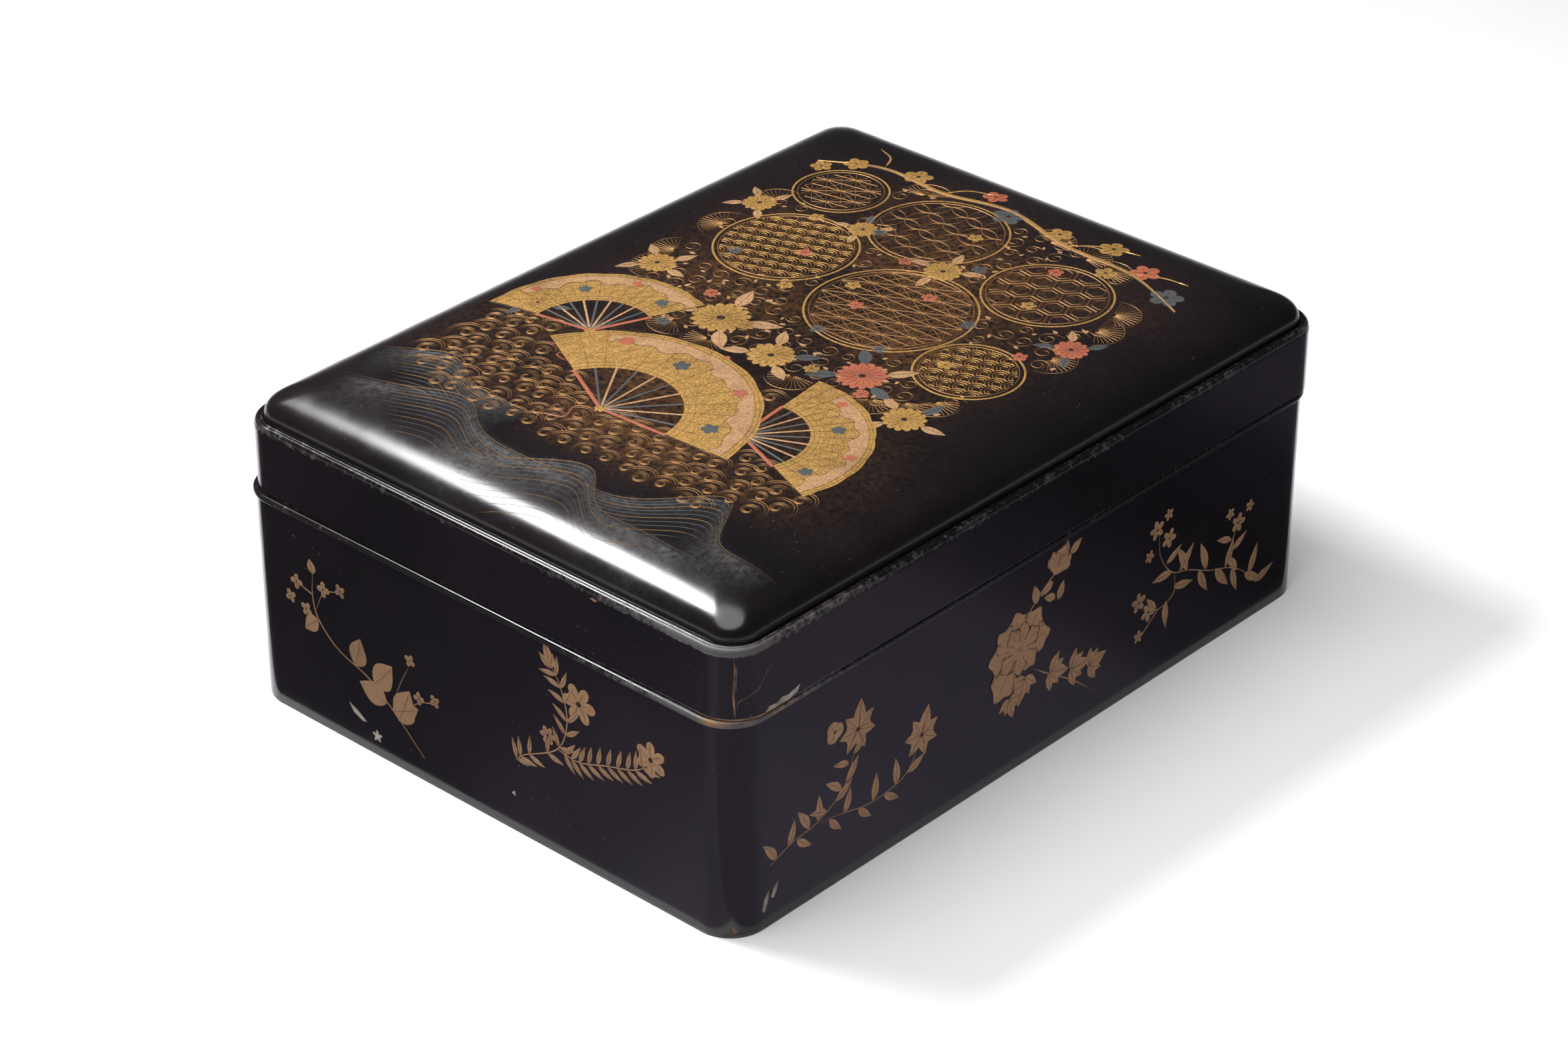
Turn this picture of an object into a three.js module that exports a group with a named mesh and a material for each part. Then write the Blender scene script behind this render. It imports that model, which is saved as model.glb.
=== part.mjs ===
import * as THREE from 'three';

// Lacquered document box with a lift-off lid.
// Millimetres, +Z up. The origin is the bottom centre, X runs across the short side,
// Y runs from the front end wall (-Y) to the back end wall (+Y).
//
// Every wall, the rim strips and the seam bead are one section swept along a side of a
// rounded rectangle. A section is drawn in (inset, height): inset is the distance
// inwards from the outside of the wall, so a negative inset stands proud of it.

// Overall size
const LENGTH = 430;
const WIDTH = 324;
const CORNER_RADIUS = 20;
const JOINT_GAP = 0.3;

// Box walls and base board
const BOX_WALL = 8.2;
const WALL_LEAN = 0.35;
const FOOT_CHAMFER = 0.8;
const BASE_THICKNESS = 7;
const BOX_TOP = 117.2;

// Half-round bead that runs round the mouth of the box, in a rebate of the walls
const BEAD_HEIGHT = 3.6;
const BEAD_PROUD = 1.5;
const BEAD_DEPTH = 1.2;
const BEAD_STEPS = 8;

// Rim strips inside the mouth, which stand up into the lid
const RIM_THICKNESS = 3;
const RIM_BOTTOM = 88;
const RIM_TOP = 128.5;
const RIM_CHAMFER = 0.8;

// Lid walls: they overhang the box a little, and end in a rounded shoulder and a ledge
const LID_OVERHANG = 0.35;
const LID_WALL = 6.9;
const LID_BOTTOM = BOX_TOP + JOINT_GAP;
const SHOULDER_WIDTH = 3;
const SHOULDER_RISE = 3.4;
const SHOULDER_STEPS = 5;
const LEDGE_HEIGHT = 154.2;
const LEDGE_INSET = 4.5;
const PANEL_SEAT = 146;

// Crowned lid panel: a steep start at the ledge, a soft round, then a nearly flat field
const DOME_START = 153.8;
const DOME_RISE = 16.8;
const DOME_ROUND = 42;
const DOME_POWER = 2.4;
const FIELD_CROWN = 3;
const CROWN_POWER = 4;
const HOLLOW_INSET = 13;
const HOLLOW_RISE = 15.5;
const HOLLOW_CROWN = 3;
const FIELD_CORNER_RADIUS = 11;

// The lid lies a little to the back right, within its play on the rim strips
const LID_SHIFT_X = 1.1;
const LID_SHIFT_Y = 1.1;

// Facets
const MITRE_STEPS = 6;
const DOME_RINGS = 14;
const FIELD_RINGS = 4;
const HOLLOW_RINGS = 9;
const SIDE_STEPS = 7;

const halfWidth = WIDTH / 2;
const halfLength = LENGTH / 2;
const SIDES = ['right', 'back', 'left', 'front'];
const CORNER_SIGNS = [[1, -1], [1, 1], [-1, 1], [-1, -1]];

// Point of the outline at an inset, at an angle about one of its four corner centres
function outlinePoint(corner, angle, inset, overhang) {
  const [signX, signY] = CORNER_SIGNS[corner % 4];
  const radius = CORNER_RADIUS + overhang - inset;
  return [
    signX * (halfWidth - CORNER_RADIUS) + radius * Math.cos(angle),
    signY * (halfLength - CORNER_RADIUS) + radius * Math.sin(angle),
  ];
}

// Stations along one side, from its first mitre round the corner to its second mitre
function sideStations(side, innerRadius) {
  const trim = (JOINT_GAP / 2) / innerRadius;
  const square = side * Math.PI / 2;
  const reach = Math.PI / 4 - trim;
  const stations = [];
  for (let i = 0; i <= MITRE_STEPS; i++) {
    stations.push({ corner: side, angle: square - reach * (1 - i / MITRE_STEPS) });
  }
  for (let i = 0; i <= MITRE_STEPS; i++) {
    stations.push({ corner: side + 1, angle: square + reach * i / MITRE_STEPS });
  }
  return stations;
}

// Stations once round the whole outline
function roundStations() {
  const stations = [];
  for (let corner = 0; corner < 4; corner++) {
    for (let i = 0; i <= 2 * MITRE_STEPS; i++) {
      const turn = (i / (2 * MITRE_STEPS) - 1) * Math.PI / 2;
      stations.push({ corner, angle: corner * Math.PI / 2 + turn });
    }
  }
  return stations;
}

function geometryFrom(positions, indices) {
  const geometry = new THREE.BufferGeometry();
  geometry.setAttribute('position', new THREE.Float32BufferAttribute(positions, 3));
  geometry.setIndex(indices);
  geometry.computeVertexNormals();
  return geometry;
}

// Sweep a section, drawn anticlockwise in (outwards, up), along stations.
// An open run gets flat ends, a closed one joins up with its start.
function sweep(section, stations, overhang, closed) {
  const positions = [];
  for (const { corner, angle } of stations) {
    for (const [inset, height] of section) {
      const [x, y] = outlinePoint(corner, angle, inset, overhang);
      positions.push(x, y, height);
    }
  }
  const count = section.length;
  const indices = [];
  const runs = closed ? stations.length : stations.length - 1;
  for (let s = 0; s < runs; s++) {
    const here = s * count;
    const next = ((s + 1) % stations.length) * count;
    for (let i = 0; i < count; i++) {
      const j = (i + 1) % count;
      indices.push(here + i, next + i, next + j, here + i, next + j, here + j);
    }
  }
  if (!closed) {
    const contour = section.map(([inset, height]) => new THREE.Vector2(-inset, height));
    const last = (stations.length - 1) * count;
    for (const [a, b, c] of THREE.ShapeUtils.triangulateShape(contour, [])) {
      indices.push(a, b, c, last + a, last + c, last + b);
    }
  }
  return geometryFrom(positions, indices);
}

// Join rings of equal length, with a centre point closing the first and the last
function loftRings(rings, firstCentre, lastCentre) {
  const count = rings[0].length;
  const positions = rings.flat(2);
  const indices = [];
  for (let r = 0; r + 1 < rings.length; r++) {
    for (let i = 0; i < count; i++) {
      const j = (i + 1) % count;
      const here = r * count;
      const next = here + count;
      indices.push(here + i, next + i, next + j, here + i, next + j, here + j);
    }
  }
  const top = rings.length * count;
  const bottom = top + 1;
  const last = (rings.length - 1) * count;
  positions.push(...firstCentre, ...lastCentre);
  for (let i = 0; i < count; i++) {
    const j = (i + 1) % count;
    indices.push(top, i, j, bottom, last + j, last + i);
  }
  return geometryFrom(positions, indices);
}

// Lacquers: near-black outside, with the walls a shade apart so that the boards read
function lacquer(name, color, roughness) {
  return new THREE.MeshStandardMaterial({ name, color, roughness, metalness: 0 });
}
const blackLacquer = lacquer('black lacquer', 0x0b090b, 0.12);
const innerLacquer = lacquer('inner black lacquer', 0x0e0b0b, 0.3);
const wornLacquer = lacquer('worn edge lacquer', 0x1a1413, 0.35);

function node(name, geometry, material) {
  const mesh = new THREE.Mesh(geometry, material);
  mesh.name = name;
  return mesh;
}

// Box wall: leans in slightly, with a rebate near its top for the bead
function boxWallSection() {
  const rebate = BOX_TOP - BEAD_HEIGHT - JOINT_GAP;
  return [
    [BOX_WALL, 0],
    [WALL_LEAN + FOOT_CHAMFER, 0],
    [WALL_LEAN, FOOT_CHAMFER],
    [0, rebate],
    [BEAD_DEPTH + JOINT_GAP, rebate],
    [BEAD_DEPTH + JOINT_GAP, BOX_TOP],
    [BOX_WALL, BOX_TOP],
  ];
}

// Bead: flat back in the rebate, half-round front that stands proud of the wall
function beadSection() {
  const section = [[BEAD_DEPTH, BOX_TOP - BEAD_HEIGHT]];
  for (let i = 0; i <= BEAD_STEPS; i++) {
    const angle = (i / BEAD_STEPS - 0.5) * Math.PI;
    const height = BOX_TOP - BEAD_HEIGHT / 2 + (BEAD_HEIGHT / 2) * Math.sin(angle);
    section.push([-BEAD_PROUD * Math.cos(angle), height]);
  }
  section.push([BEAD_DEPTH, BOX_TOP]);
  return section;
}

function rimSection() {
  const outer = BOX_WALL + JOINT_GAP;
  const inner = outer + RIM_THICKNESS;
  return [
    [inner, RIM_BOTTOM],
    [outer, RIM_BOTTOM],
    [outer, RIM_TOP - RIM_CHAMFER],
    [outer + RIM_CHAMFER, RIM_TOP],
    [inner - RIM_CHAMFER, RIM_TOP],
    [inner, RIM_TOP - RIM_CHAMFER],
  ];
}

// Lid wall: upright face, rounded shoulder, ledge, and a rebate that seats the panel
function lidWallSection() {
  const section = [[LID_WALL, LID_BOTTOM], [0, LID_BOTTOM]];
  for (let i = 0; i <= SHOULDER_STEPS; i++) {
    const angle = (i / SHOULDER_STEPS) * Math.PI / 2;
    section.push([
      SHOULDER_WIDTH * (1 - Math.cos(angle)),
      LEDGE_HEIGHT - SHOULDER_RISE * (1 - Math.sin(angle)),
    ]);
  }
  section.push([LEDGE_INSET, LEDGE_HEIGHT], [LEDGE_INSET, PANEL_SEAT], [LID_WALL, PANEL_SEAT]);
  return section;
}

// Plan radius of a panel ring: it follows the walls at the seat and then eases to a
// steady radius, so that the dome's corners stay soft
function ringRadius(inset, seatInset) {
  const seatRadius = CORNER_RADIUS + LID_OVERHANG - seatInset;
  const spare = seatRadius - FIELD_CORNER_RADIUS;
  const past = Math.max(inset - seatInset, 0);
  return FIELD_CORNER_RADIUS + spare * Math.exp(-past / spare);
}

// Panel ring at an inset, shrunk towards the centre by a scale, with its height per point.
// Its straight runs get steps of their own, so that the crown bends along them too.
function panelRing(inset, scale, seatInset, heightAt) {
  const radius = ringRadius(inset, seatInset);
  const reachX = halfWidth + LID_OVERHANG - inset - radius;
  const reachY = halfLength + LID_OVERHANG - inset - radius;
  const flat = [];
  for (let corner = 0; corner < 4; corner++) {
    const [signX, signY] = CORNER_SIGNS[corner];
    for (let i = 0; i <= MITRE_STEPS; i++) {
      const angle = (corner + i / MITRE_STEPS - 1) * Math.PI / 2;
      flat.push([signX * reachX + radius * Math.cos(angle), signY * reachY + radius * Math.sin(angle)]);
    }
    const [nextX, nextY] = CORNER_SIGNS[(corner + 1) % 4];
    const square = corner * Math.PI / 2;
    const fromX = signX * reachX + radius * Math.cos(square);
    const fromY = signY * reachY + radius * Math.sin(square);
    const toX = nextX * reachX + radius * Math.cos(square);
    const toY = nextY * reachY + radius * Math.sin(square);
    for (let i = 1; i < SIDE_STEPS; i++) {
      const along = i / SIDE_STEPS;
      flat.push([fromX + (toX - fromX) * along, fromY + (toY - fromY) * along]);
    }
  }
  return flat.map(([x, y]) => [x * scale, y * scale, heightAt(x * scale, y * scale)]);
}

// Rounded rise from 0 to 1 over the soft round of the dome
function domeProfile(past) {
  const rest = 1 - Math.min(Math.max(past / DOME_ROUND, 0), 1);
  return Math.pow(1 - Math.pow(rest, DOME_POWER), 1 / DOME_POWER);
}

// Gentle crown of the whole panel, nothing at its edges
function crown(x, y) {
  const acrossX = 1 - (x / halfWidth) ** CROWN_POWER;
  const acrossY = 1 - (y / halfLength) ** CROWN_POWER;
  return Math.max(acrossX, 0) * Math.max(acrossY, 0);
}

function lidPanelGeometry() {
  const edge = LEDGE_INSET + JOINT_GAP;
  const bottom = PANEL_SEAT + JOINT_GAP;
  const topAt = (past) => (x, y) => DOME_START + DOME_RISE * domeProfile(past) + FIELD_CROWN * crown(x, y);
  const underAt = (past) => (x, y) => bottom + HOLLOW_RISE * domeProfile(past) + HOLLOW_CROWN * crown(x, y);
  const rings = [];
  for (let i = 1; i <= FIELD_RINGS; i++) {
    rings.push(panelRing(edge + DOME_ROUND, i / (FIELD_RINGS + 1), edge, topAt(DOME_ROUND)));
  }
  for (let i = DOME_RINGS; i >= 0; i--) {
    const past = DOME_ROUND * (i / DOME_RINGS) ** 1.8;
    rings.push(panelRing(edge + past, 1, edge, topAt(past)));
  }
  rings.push(panelRing(edge, 1, edge, () => bottom));
  rings.push(panelRing(HOLLOW_INSET, 1, edge, () => bottom));
  for (let i = 1; i <= HOLLOW_RINGS; i++) {
    const past = DOME_ROUND * (i / HOLLOW_RINGS) ** 1.6;
    rings.push(panelRing(HOLLOW_INSET + past, 1, edge, underAt(past)));
  }
  for (let i = FIELD_RINGS; i >= 1; i--) {
    rings.push(panelRing(HOLLOW_INSET + DOME_ROUND, i / (FIELD_RINGS + 1), edge, underAt(DOME_ROUND)));
  }
  const topCentre = [0, 0, topAt(DOME_ROUND)(0, 0)];
  const underCentre = [0, 0, underAt(DOME_ROUND)(0, 0)];
  return loftRings(rings, topCentre, underCentre);
}

// Base board: set between the walls, flush with their feet
function baseBoardGeometry() {
  const inset = BOX_WALL + JOINT_GAP;
  const radius = CORNER_RADIUS - inset;
  const reachX = halfWidth - CORNER_RADIUS;
  const reachY = halfLength - CORNER_RADIUS;
  const plan = new THREE.Shape();
  CORNER_SIGNS.forEach(([signX, signY], corner) => {
    const start = (corner - 1) * Math.PI / 2;
    plan.absarc(signX * reachX, signY * reachY, radius, start, start + Math.PI / 2, false);
  });
  plan.closePath();
  return new THREE.ExtrudeGeometry(plan, {
    depth: BASE_THICKNESS,
    bevelEnabled: false,
    curveSegments: 2 * MITRE_STEPS,
  });
}

const documentBox = new THREE.Group();
const box = new THREE.Group();
const lid = new THREE.Group();
lid.position.set(LID_SHIFT_X, LID_SHIFT_Y, 0);
documentBox.add(box, lid);

box.add(node('base_board', baseBoardGeometry(), innerLacquer.clone()));
SIDES.forEach((side, index) => {
  const wallRun = sideStations(index, CORNER_RADIUS - BOX_WALL);
  box.add(node(`box_wall_${side}`, sweep(boxWallSection(), wallRun, 0, false), blackLacquer.clone()));
});
box.add(node('seam_bead', sweep(beadSection(), roundStations(), 0, true), wornLacquer.clone()));
SIDES.forEach((side, index) => {
  const rimRun = sideStations(index, CORNER_RADIUS - BOX_WALL - JOINT_GAP - RIM_THICKNESS);
  box.add(node(`rim_strip_${side}`, sweep(rimSection(), rimRun, 0, false), innerLacquer.clone()));
});

SIDES.forEach((side, index) => {
  const wallRun = sideStations(index, CORNER_RADIUS + LID_OVERHANG - LID_WALL);
  const geometry = sweep(lidWallSection(), wallRun, LID_OVERHANG, false);
  lid.add(node(`lid_wall_${side}`, geometry, blackLacquer.clone()));
});
lid.add(node('lid_panel', lidPanelGeometry(), blackLacquer.clone()));

export default documentBox;
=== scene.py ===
"""Lacquered document box: black lacquer, a crowned lift-off lid, and gold and silver maki-e."""

import bpy
import numpy as np
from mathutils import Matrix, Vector


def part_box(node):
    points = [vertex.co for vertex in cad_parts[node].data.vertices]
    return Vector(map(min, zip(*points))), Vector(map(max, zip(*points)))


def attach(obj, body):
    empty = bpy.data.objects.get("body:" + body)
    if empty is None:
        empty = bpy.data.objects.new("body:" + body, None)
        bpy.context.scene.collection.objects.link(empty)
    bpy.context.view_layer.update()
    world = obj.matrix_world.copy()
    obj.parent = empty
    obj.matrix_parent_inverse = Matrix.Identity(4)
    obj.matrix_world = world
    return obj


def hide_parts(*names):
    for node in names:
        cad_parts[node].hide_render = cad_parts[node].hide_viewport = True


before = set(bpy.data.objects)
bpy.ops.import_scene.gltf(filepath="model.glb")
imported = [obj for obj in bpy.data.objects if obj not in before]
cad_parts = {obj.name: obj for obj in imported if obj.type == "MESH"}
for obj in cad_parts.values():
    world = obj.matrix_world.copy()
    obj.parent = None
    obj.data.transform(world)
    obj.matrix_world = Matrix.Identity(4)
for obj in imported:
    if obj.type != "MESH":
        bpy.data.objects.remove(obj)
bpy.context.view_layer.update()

bl_info = {
    "name": "Lacquer Document Box",
    "version": (1, 0, 0),
    "blender": (4, 5, 0),
    "location": "View3D > Sidebar > Document Box",
    "description": "Builds a black lacquer document box with a crowned lid and maki-e decoration",
    "category": "Object",
}

MM = 0.001
JOINT_GAP = 0.3  # millimetres between two glued boards, in the solids
SIDES = ("front", "back", "left", "right")

# Sizes in millimetres, taken from the CAD nodes
BOX_HALF_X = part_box("box_wall_right")[1][0] / MM
BOX_HALF_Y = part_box("box_wall_back")[1][1] / MM
BOX_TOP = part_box("box_wall_front")[1][2] / MM
BASE_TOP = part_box("base_board")[1][2] / MM
BASE_HALF_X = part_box("base_board")[1][0] / MM
BOX_WALL = BOX_HALF_X - BASE_HALF_X - JOINT_GAP
RIM_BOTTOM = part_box("rim_strip_front")[0][2] / MM
RIM_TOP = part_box("rim_strip_front")[1][2] / MM
LID_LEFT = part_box("lid_wall_left")[0][0] / MM
LID_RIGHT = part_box("lid_wall_right")[1][0] / MM
LID_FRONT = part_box("lid_wall_front")[0][1] / MM
LID_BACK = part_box("lid_wall_back")[1][1] / MM
LID_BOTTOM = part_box("lid_wall_front")[0][2] / MM
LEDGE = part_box("lid_wall_front")[1][2] / MM
PANEL_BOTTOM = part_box("lid_panel")[0][2] / MM
LID_SHIFT = np.array([(LID_LEFT + LID_RIGHT) / 2, (LID_FRONT + LID_BACK) / 2])
LID_HALF_X = (LID_RIGHT - LID_LEFT) / 2
LID_HALF_Y = (LID_BACK - LID_FRONT) / 2
BEAD_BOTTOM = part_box("seam_bead")[0][2] / MM
BEAD_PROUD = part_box("seam_bead")[1][0] / MM - BOX_HALF_X

# Plan radii, wall thicknesses and the dome's profile, close to those of the solids
BOX_RADIUS = 20.0
LID_RADIUS = BOX_RADIUS + LID_HALF_X - BOX_HALF_X
LID_WALL = 6.9
RIM_THICKNESS = 3.0
WALL_LEAN = 0.35
PANEL_EDGE = 4.9
DOME_START = 153.8
DOME_RISE = 16.8
DOME_ROUND = 42.0
DOME_POWER = 2.4
FIELD_CROWN = 3.0
CROWN_POWER = 4
FIELD_RADIUS = 11.0
HOLLOW_INSET = 13.0
HOLLOW_RISE = 15.5

# Plans: half width, half length, corner radius and place of the middle
BOX_PLAN = (BOX_HALF_X, BOX_HALF_Y, BOX_RADIUS, np.zeros(2))
LID_PLAN = (LID_HALF_X, LID_HALF_Y, LID_RADIUS, LID_SHIFT)


# Meshes

class Shell:
    """Collects vertices and faces, as whole arrays, for one mesh."""

    def __init__(self):
        self.verts, self.quads, self.tris, self.count = [], [], [], 0
        self.tones = []

    def add(self, verts, quads=None, tris=None, tone=0.5):
        """Adds vertices with their faces and their tone, one value or one for each vertex."""
        verts = np.asarray(verts, float).reshape(-1, 3)
        if quads is not None and len(quads):
            self.quads.append(np.asarray(quads) + self.count)
        if tris is not None and len(tris):
            self.tris.append(np.asarray(tris) + self.count)
        self.verts.append(verts)
        self.tones.append(np.broadcast_to(np.asarray(tone, float), (len(verts),)))
        self.count += len(verts)

    def build(self, name, material, body, slot, smooth=True, sharp=40):
        """Makes the piece, in metres at rest, and gives it to its body. The slot is not used."""
        verts = np.concatenate(self.verts) * MM
        quads = np.concatenate(self.quads) if self.quads else np.zeros((0, 4), int)
        tris = np.concatenate(self.tris) if self.tris else np.zeros((0, 3), int)
        mesh = bpy.data.meshes.new(name)
        mesh.vertices.add(len(verts))
        mesh.vertices.foreach_set("co", verts.ravel().astype(np.float32))
        loops = np.concatenate([quads.ravel(), tris.ravel()]).astype(np.int32)
        starts = np.concatenate([np.arange(len(quads)) * 4, len(quads) * 4 + np.arange(len(tris)) * 3])
        mesh.loops.add(len(loops))
        mesh.loops.foreach_set("vertex_index", loops)
        mesh.polygons.add(len(starts))
        mesh.polygons.foreach_set("loop_start", starts.astype(np.int32))
        mesh.polygons.foreach_set("use_smooth", np.full(len(starts), smooth))
        mesh.update(calc_edges=True)
        tone = mesh.attributes.new("tone", "FLOAT", "POINT")
        tone.data.foreach_set("value", np.concatenate(self.tones).astype(np.float32))
        if smooth:
            mesh.set_sharp_from_angle(angle=np.radians(sharp))
        mesh.materials.append(material)
        piece = bpy.data.objects.new(name, mesh)
        bpy.context.scene.collection.objects.link(piece)
        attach(piece, body)
        return piece


def grid_quads(rows, columns, wrap_rows=False, wrap_columns=False):
    """Quads of a grid, row by row, joined round in either direction when asked."""
    r = np.arange(rows if wrap_rows else rows - 1)
    c = np.arange(columns if wrap_columns else columns - 1)
    r, c = [a.ravel() for a in np.meshgrid(r, c, indexing="ij")]
    r2, c2 = (r + 1) % rows, (c + 1) % columns
    return np.stack([r * columns + c, r2 * columns + c, r2 * columns + c2, r * columns + c2], 1)


def smooth_noise(seed, *coords):
    """Soft repeatable noise, mostly between -1 and 1: a sum of sines with seeded directions."""
    rng = np.random.default_rng(seed)
    total = 0.0
    for octave in range(5):
        weights = rng.uniform(-1, 1, len(coords)) * 1.9 ** octave
        phase = rng.uniform(0, 2 * np.pi)
        total = total + np.sin(sum(w * c for w, c in zip(weights, coords)) + phase) / 1.6 ** octave
    return total / 2.2


def outline_stations(half_x, half_y, radius, per_corner, per_x, per_y):
    """Anticlockwise stations of a rounded rectangle: arc centres and outward normals.

    A point at an inset lies at centre + (radius - inset) * normal; along a straight side
    the centre slides while the normal stays.
    """
    signs = np.array([[1, -1], [1, 1], [-1, 1], [-1, -1]], float)
    reach = np.array([half_x - radius, half_y - radius])
    centres, normals = [], []
    for k in range(4):
        angle = (k - 1 + np.linspace(0, 1, per_corner + 1)) * np.pi / 2
        normal = np.stack([np.cos(angle), np.sin(angle)], 1)
        centres.append(np.repeat(signs[k:k + 1] * reach, per_corner + 1, 0))
        normals.append(normal)
        steps = per_y if k % 2 == 0 else per_x
        t = (np.arange(1, steps) / steps)[:, None]
        centres.append(signs[k] * reach * (1 - t) + signs[(k + 1) % 4] * reach * t)
        normals.append(np.repeat(normal[-1:], steps - 1, 0))
    return np.concatenate(centres), np.concatenate(normals)


def swept_ring(section, half_x, half_y, radius, shift=(0, 0), per_corner=20):
    """A closed section, listed as (inset, height), carried once round a rounded rectangle."""
    centres, normals = outline_stations(half_x, half_y, radius, per_corner, 40, 56)
    section = np.asarray(section, float)
    flat = centres[:, None] + (radius - section[None, :, :1]) * normals[:, None] + np.asarray(shift)
    height = np.broadcast_to(section[None, :, 1:], flat.shape[:2] + (1,))
    verts = np.concatenate([flat, height], 2)
    return verts, grid_quads(len(centres), len(section), True, True)


def arc(centre, radius_in, radius_up, start, end, steps=6):
    """Points of an elliptic arc in a section, as (inset, height), from start to end in degrees."""
    angle = np.radians(np.linspace(start, end, steps + 1))
    return [(centre[0] + radius_in * np.cos(a), centre[1] + radius_up * np.sin(a)) for a in angle]


# The lid's dome

def dome_profile(past):
    """(1 - (1 - t)^p)^(1/p) with t the share of the round that is passed: steep, then flat."""
    rest = 1 - np.clip(past / DOME_ROUND, 0, 1)
    return (1 - rest ** DOME_POWER) ** (1 / DOME_POWER)


def crown(x, y):
    """A product of 1 - (x / half width)^4 and the same along the length."""
    across = 1 - (np.abs(x) / BOX_HALF_X) ** CROWN_POWER
    along = 1 - (np.abs(y) / BOX_HALF_Y) ** CROWN_POWER
    return np.maximum(across, 0) * np.maximum(along, 0)


def ring_radius(inset):
    """Plan radius of the dome's contour at an inset: it eases from the walls' to the field's."""
    spare = LID_RADIUS - PANEL_EDGE - FIELD_RADIUS
    return FIELD_RADIUS + spare * np.exp(-np.maximum(inset - PANEL_EDGE, 0) / spare)


def dome_inset(x, y):
    """Inset of a point of the lid from its outside, found by halving on the contours."""
    low, high = np.zeros(np.shape(x)), np.full(np.shape(x), LID_HALF_X - FIELD_RADIUS)
    for _ in range(17):
        mid = (low + high) / 2
        radius = ring_radius(mid)
        gone_x = np.maximum(np.abs(x) - (LID_HALF_X - mid - radius), 0)
        gone_y = np.maximum(np.abs(y) - (LID_HALF_Y - mid - radius), 0)
        inside = np.hypot(gone_x, gone_y) < radius
        low, high = np.where(inside, mid, low), np.where(inside, high, mid)
    return low


def dome_height(x, y):
    """Height of the lid's top over a point, measured from the lid's own middle."""
    return DOME_START + DOME_RISE * dome_profile(dome_inset(x, y) - PANEL_EDGE) + FIELD_CROWN * crown(x, y)


def on_dome(x, y, lift):
    """A point of the lid's top, lifted along its normal."""
    x, y = np.asarray(x, float), np.asarray(y, float)
    z = dome_height(x, y)
    step = 0.5
    slope_x = (dome_height(x + step, y) - dome_height(x - step, y)) / (2 * step)
    slope_y = (dome_height(x, y + step) - dome_height(x, y - step)) / (2 * step)
    length = np.sqrt(1 + slope_x ** 2 + slope_y ** 2)
    return np.stack([x + LID_SHIFT[0] - lift * slope_x / length,
                     y + LID_SHIFT[1] - lift * slope_y / length,
                     z + lift / length], -1)


def round_wall(s, z, lift, lid=False):
    """A point of the walls: s runs round the near corner, 0 at its mitre, + to the right face."""
    half_x, half_y, radius, shift = LID_PLAN if lid else BOX_PLAN
    quarter = radius * np.pi / 4
    s, z = np.asarray(s, float), np.asarray(z, float)
    angle = -np.pi / 4 + np.clip(s, -quarter, quarter) / radius
    lean = 0 if lid else WALL_LEAN * np.clip(1 - z / BEAD_BOTTOM, 0, 1)
    out = radius + lift - lean
    x = half_x - radius + np.minimum(s + quarter, 0) + out * np.cos(angle)
    y = -half_y + radius + np.maximum(s - quarter, 0) + out * np.sin(angle)
    return np.stack([x + shift[0], y + shift[1], z], -1)


def on_front(x, z, lift):
    """A point of the box's front wall, at x across it."""
    return round_wall(np.asarray(x) - (BOX_HALF_X - BOX_RADIUS) - BOX_RADIUS * np.pi / 4, z, lift)


def on_right(y, z, lift):
    """A point of the box's right wall, at y along it."""
    return round_wall(np.asarray(y) + (BOX_HALF_Y - BOX_RADIUS) + BOX_RADIUS * np.pi / 4, z, lift)


# Flat motifs laid on a surface

LINE_FOOT = -0.1    # lift of a line's foot, which starts below the surface
MOTIF_FOOT = -0.2   # the same for a leaf, a petal or a sheet
GROUND_LIFT = 0.15  # lift of the crest of a line drawn on the lacquer
VEIN_LIFT = 0.32    # the same for a line on a leaf
INK_LIFT = 0.36     # the same for a line on a fan
FINE_WIDTH = 0.5
VEIN_WIDTH = 0.45
def line(shell, surface, path, width, lift=0.16, tone=0.5, taper=True):
    """A raised line of three-cornered section along a path, closed at both ends."""
    path = np.asarray(path, float)
    tangent = np.gradient(path, axis=0)
    tangent /= np.linalg.norm(tangent, axis=1, keepdims=True) + 1e-9
    side = np.stack([-tangent[:, 1], tangent[:, 0]], 1)
    t = np.linspace(0, 1, len(path))
    half = width / 2 * (np.clip(4 * np.minimum(t, 1 - t), 0.15, 1) if taper else np.ones_like(t))
    left, right = path + side * half[:, None], path - side * half[:, None]
    flat = np.stack([left, right, path], 1)
    lifts = np.tile([LINE_FOOT, LINE_FOOT, lift], (len(path), 1))
    points = surface(flat[..., 0], flat[..., 1], lifts)
    last = (len(path) - 1) * 3
    shell.add(points, grid_quads(len(path), 3, False, True), [[0, 1, 2], [last, last + 2, last + 1]], tone)


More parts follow.
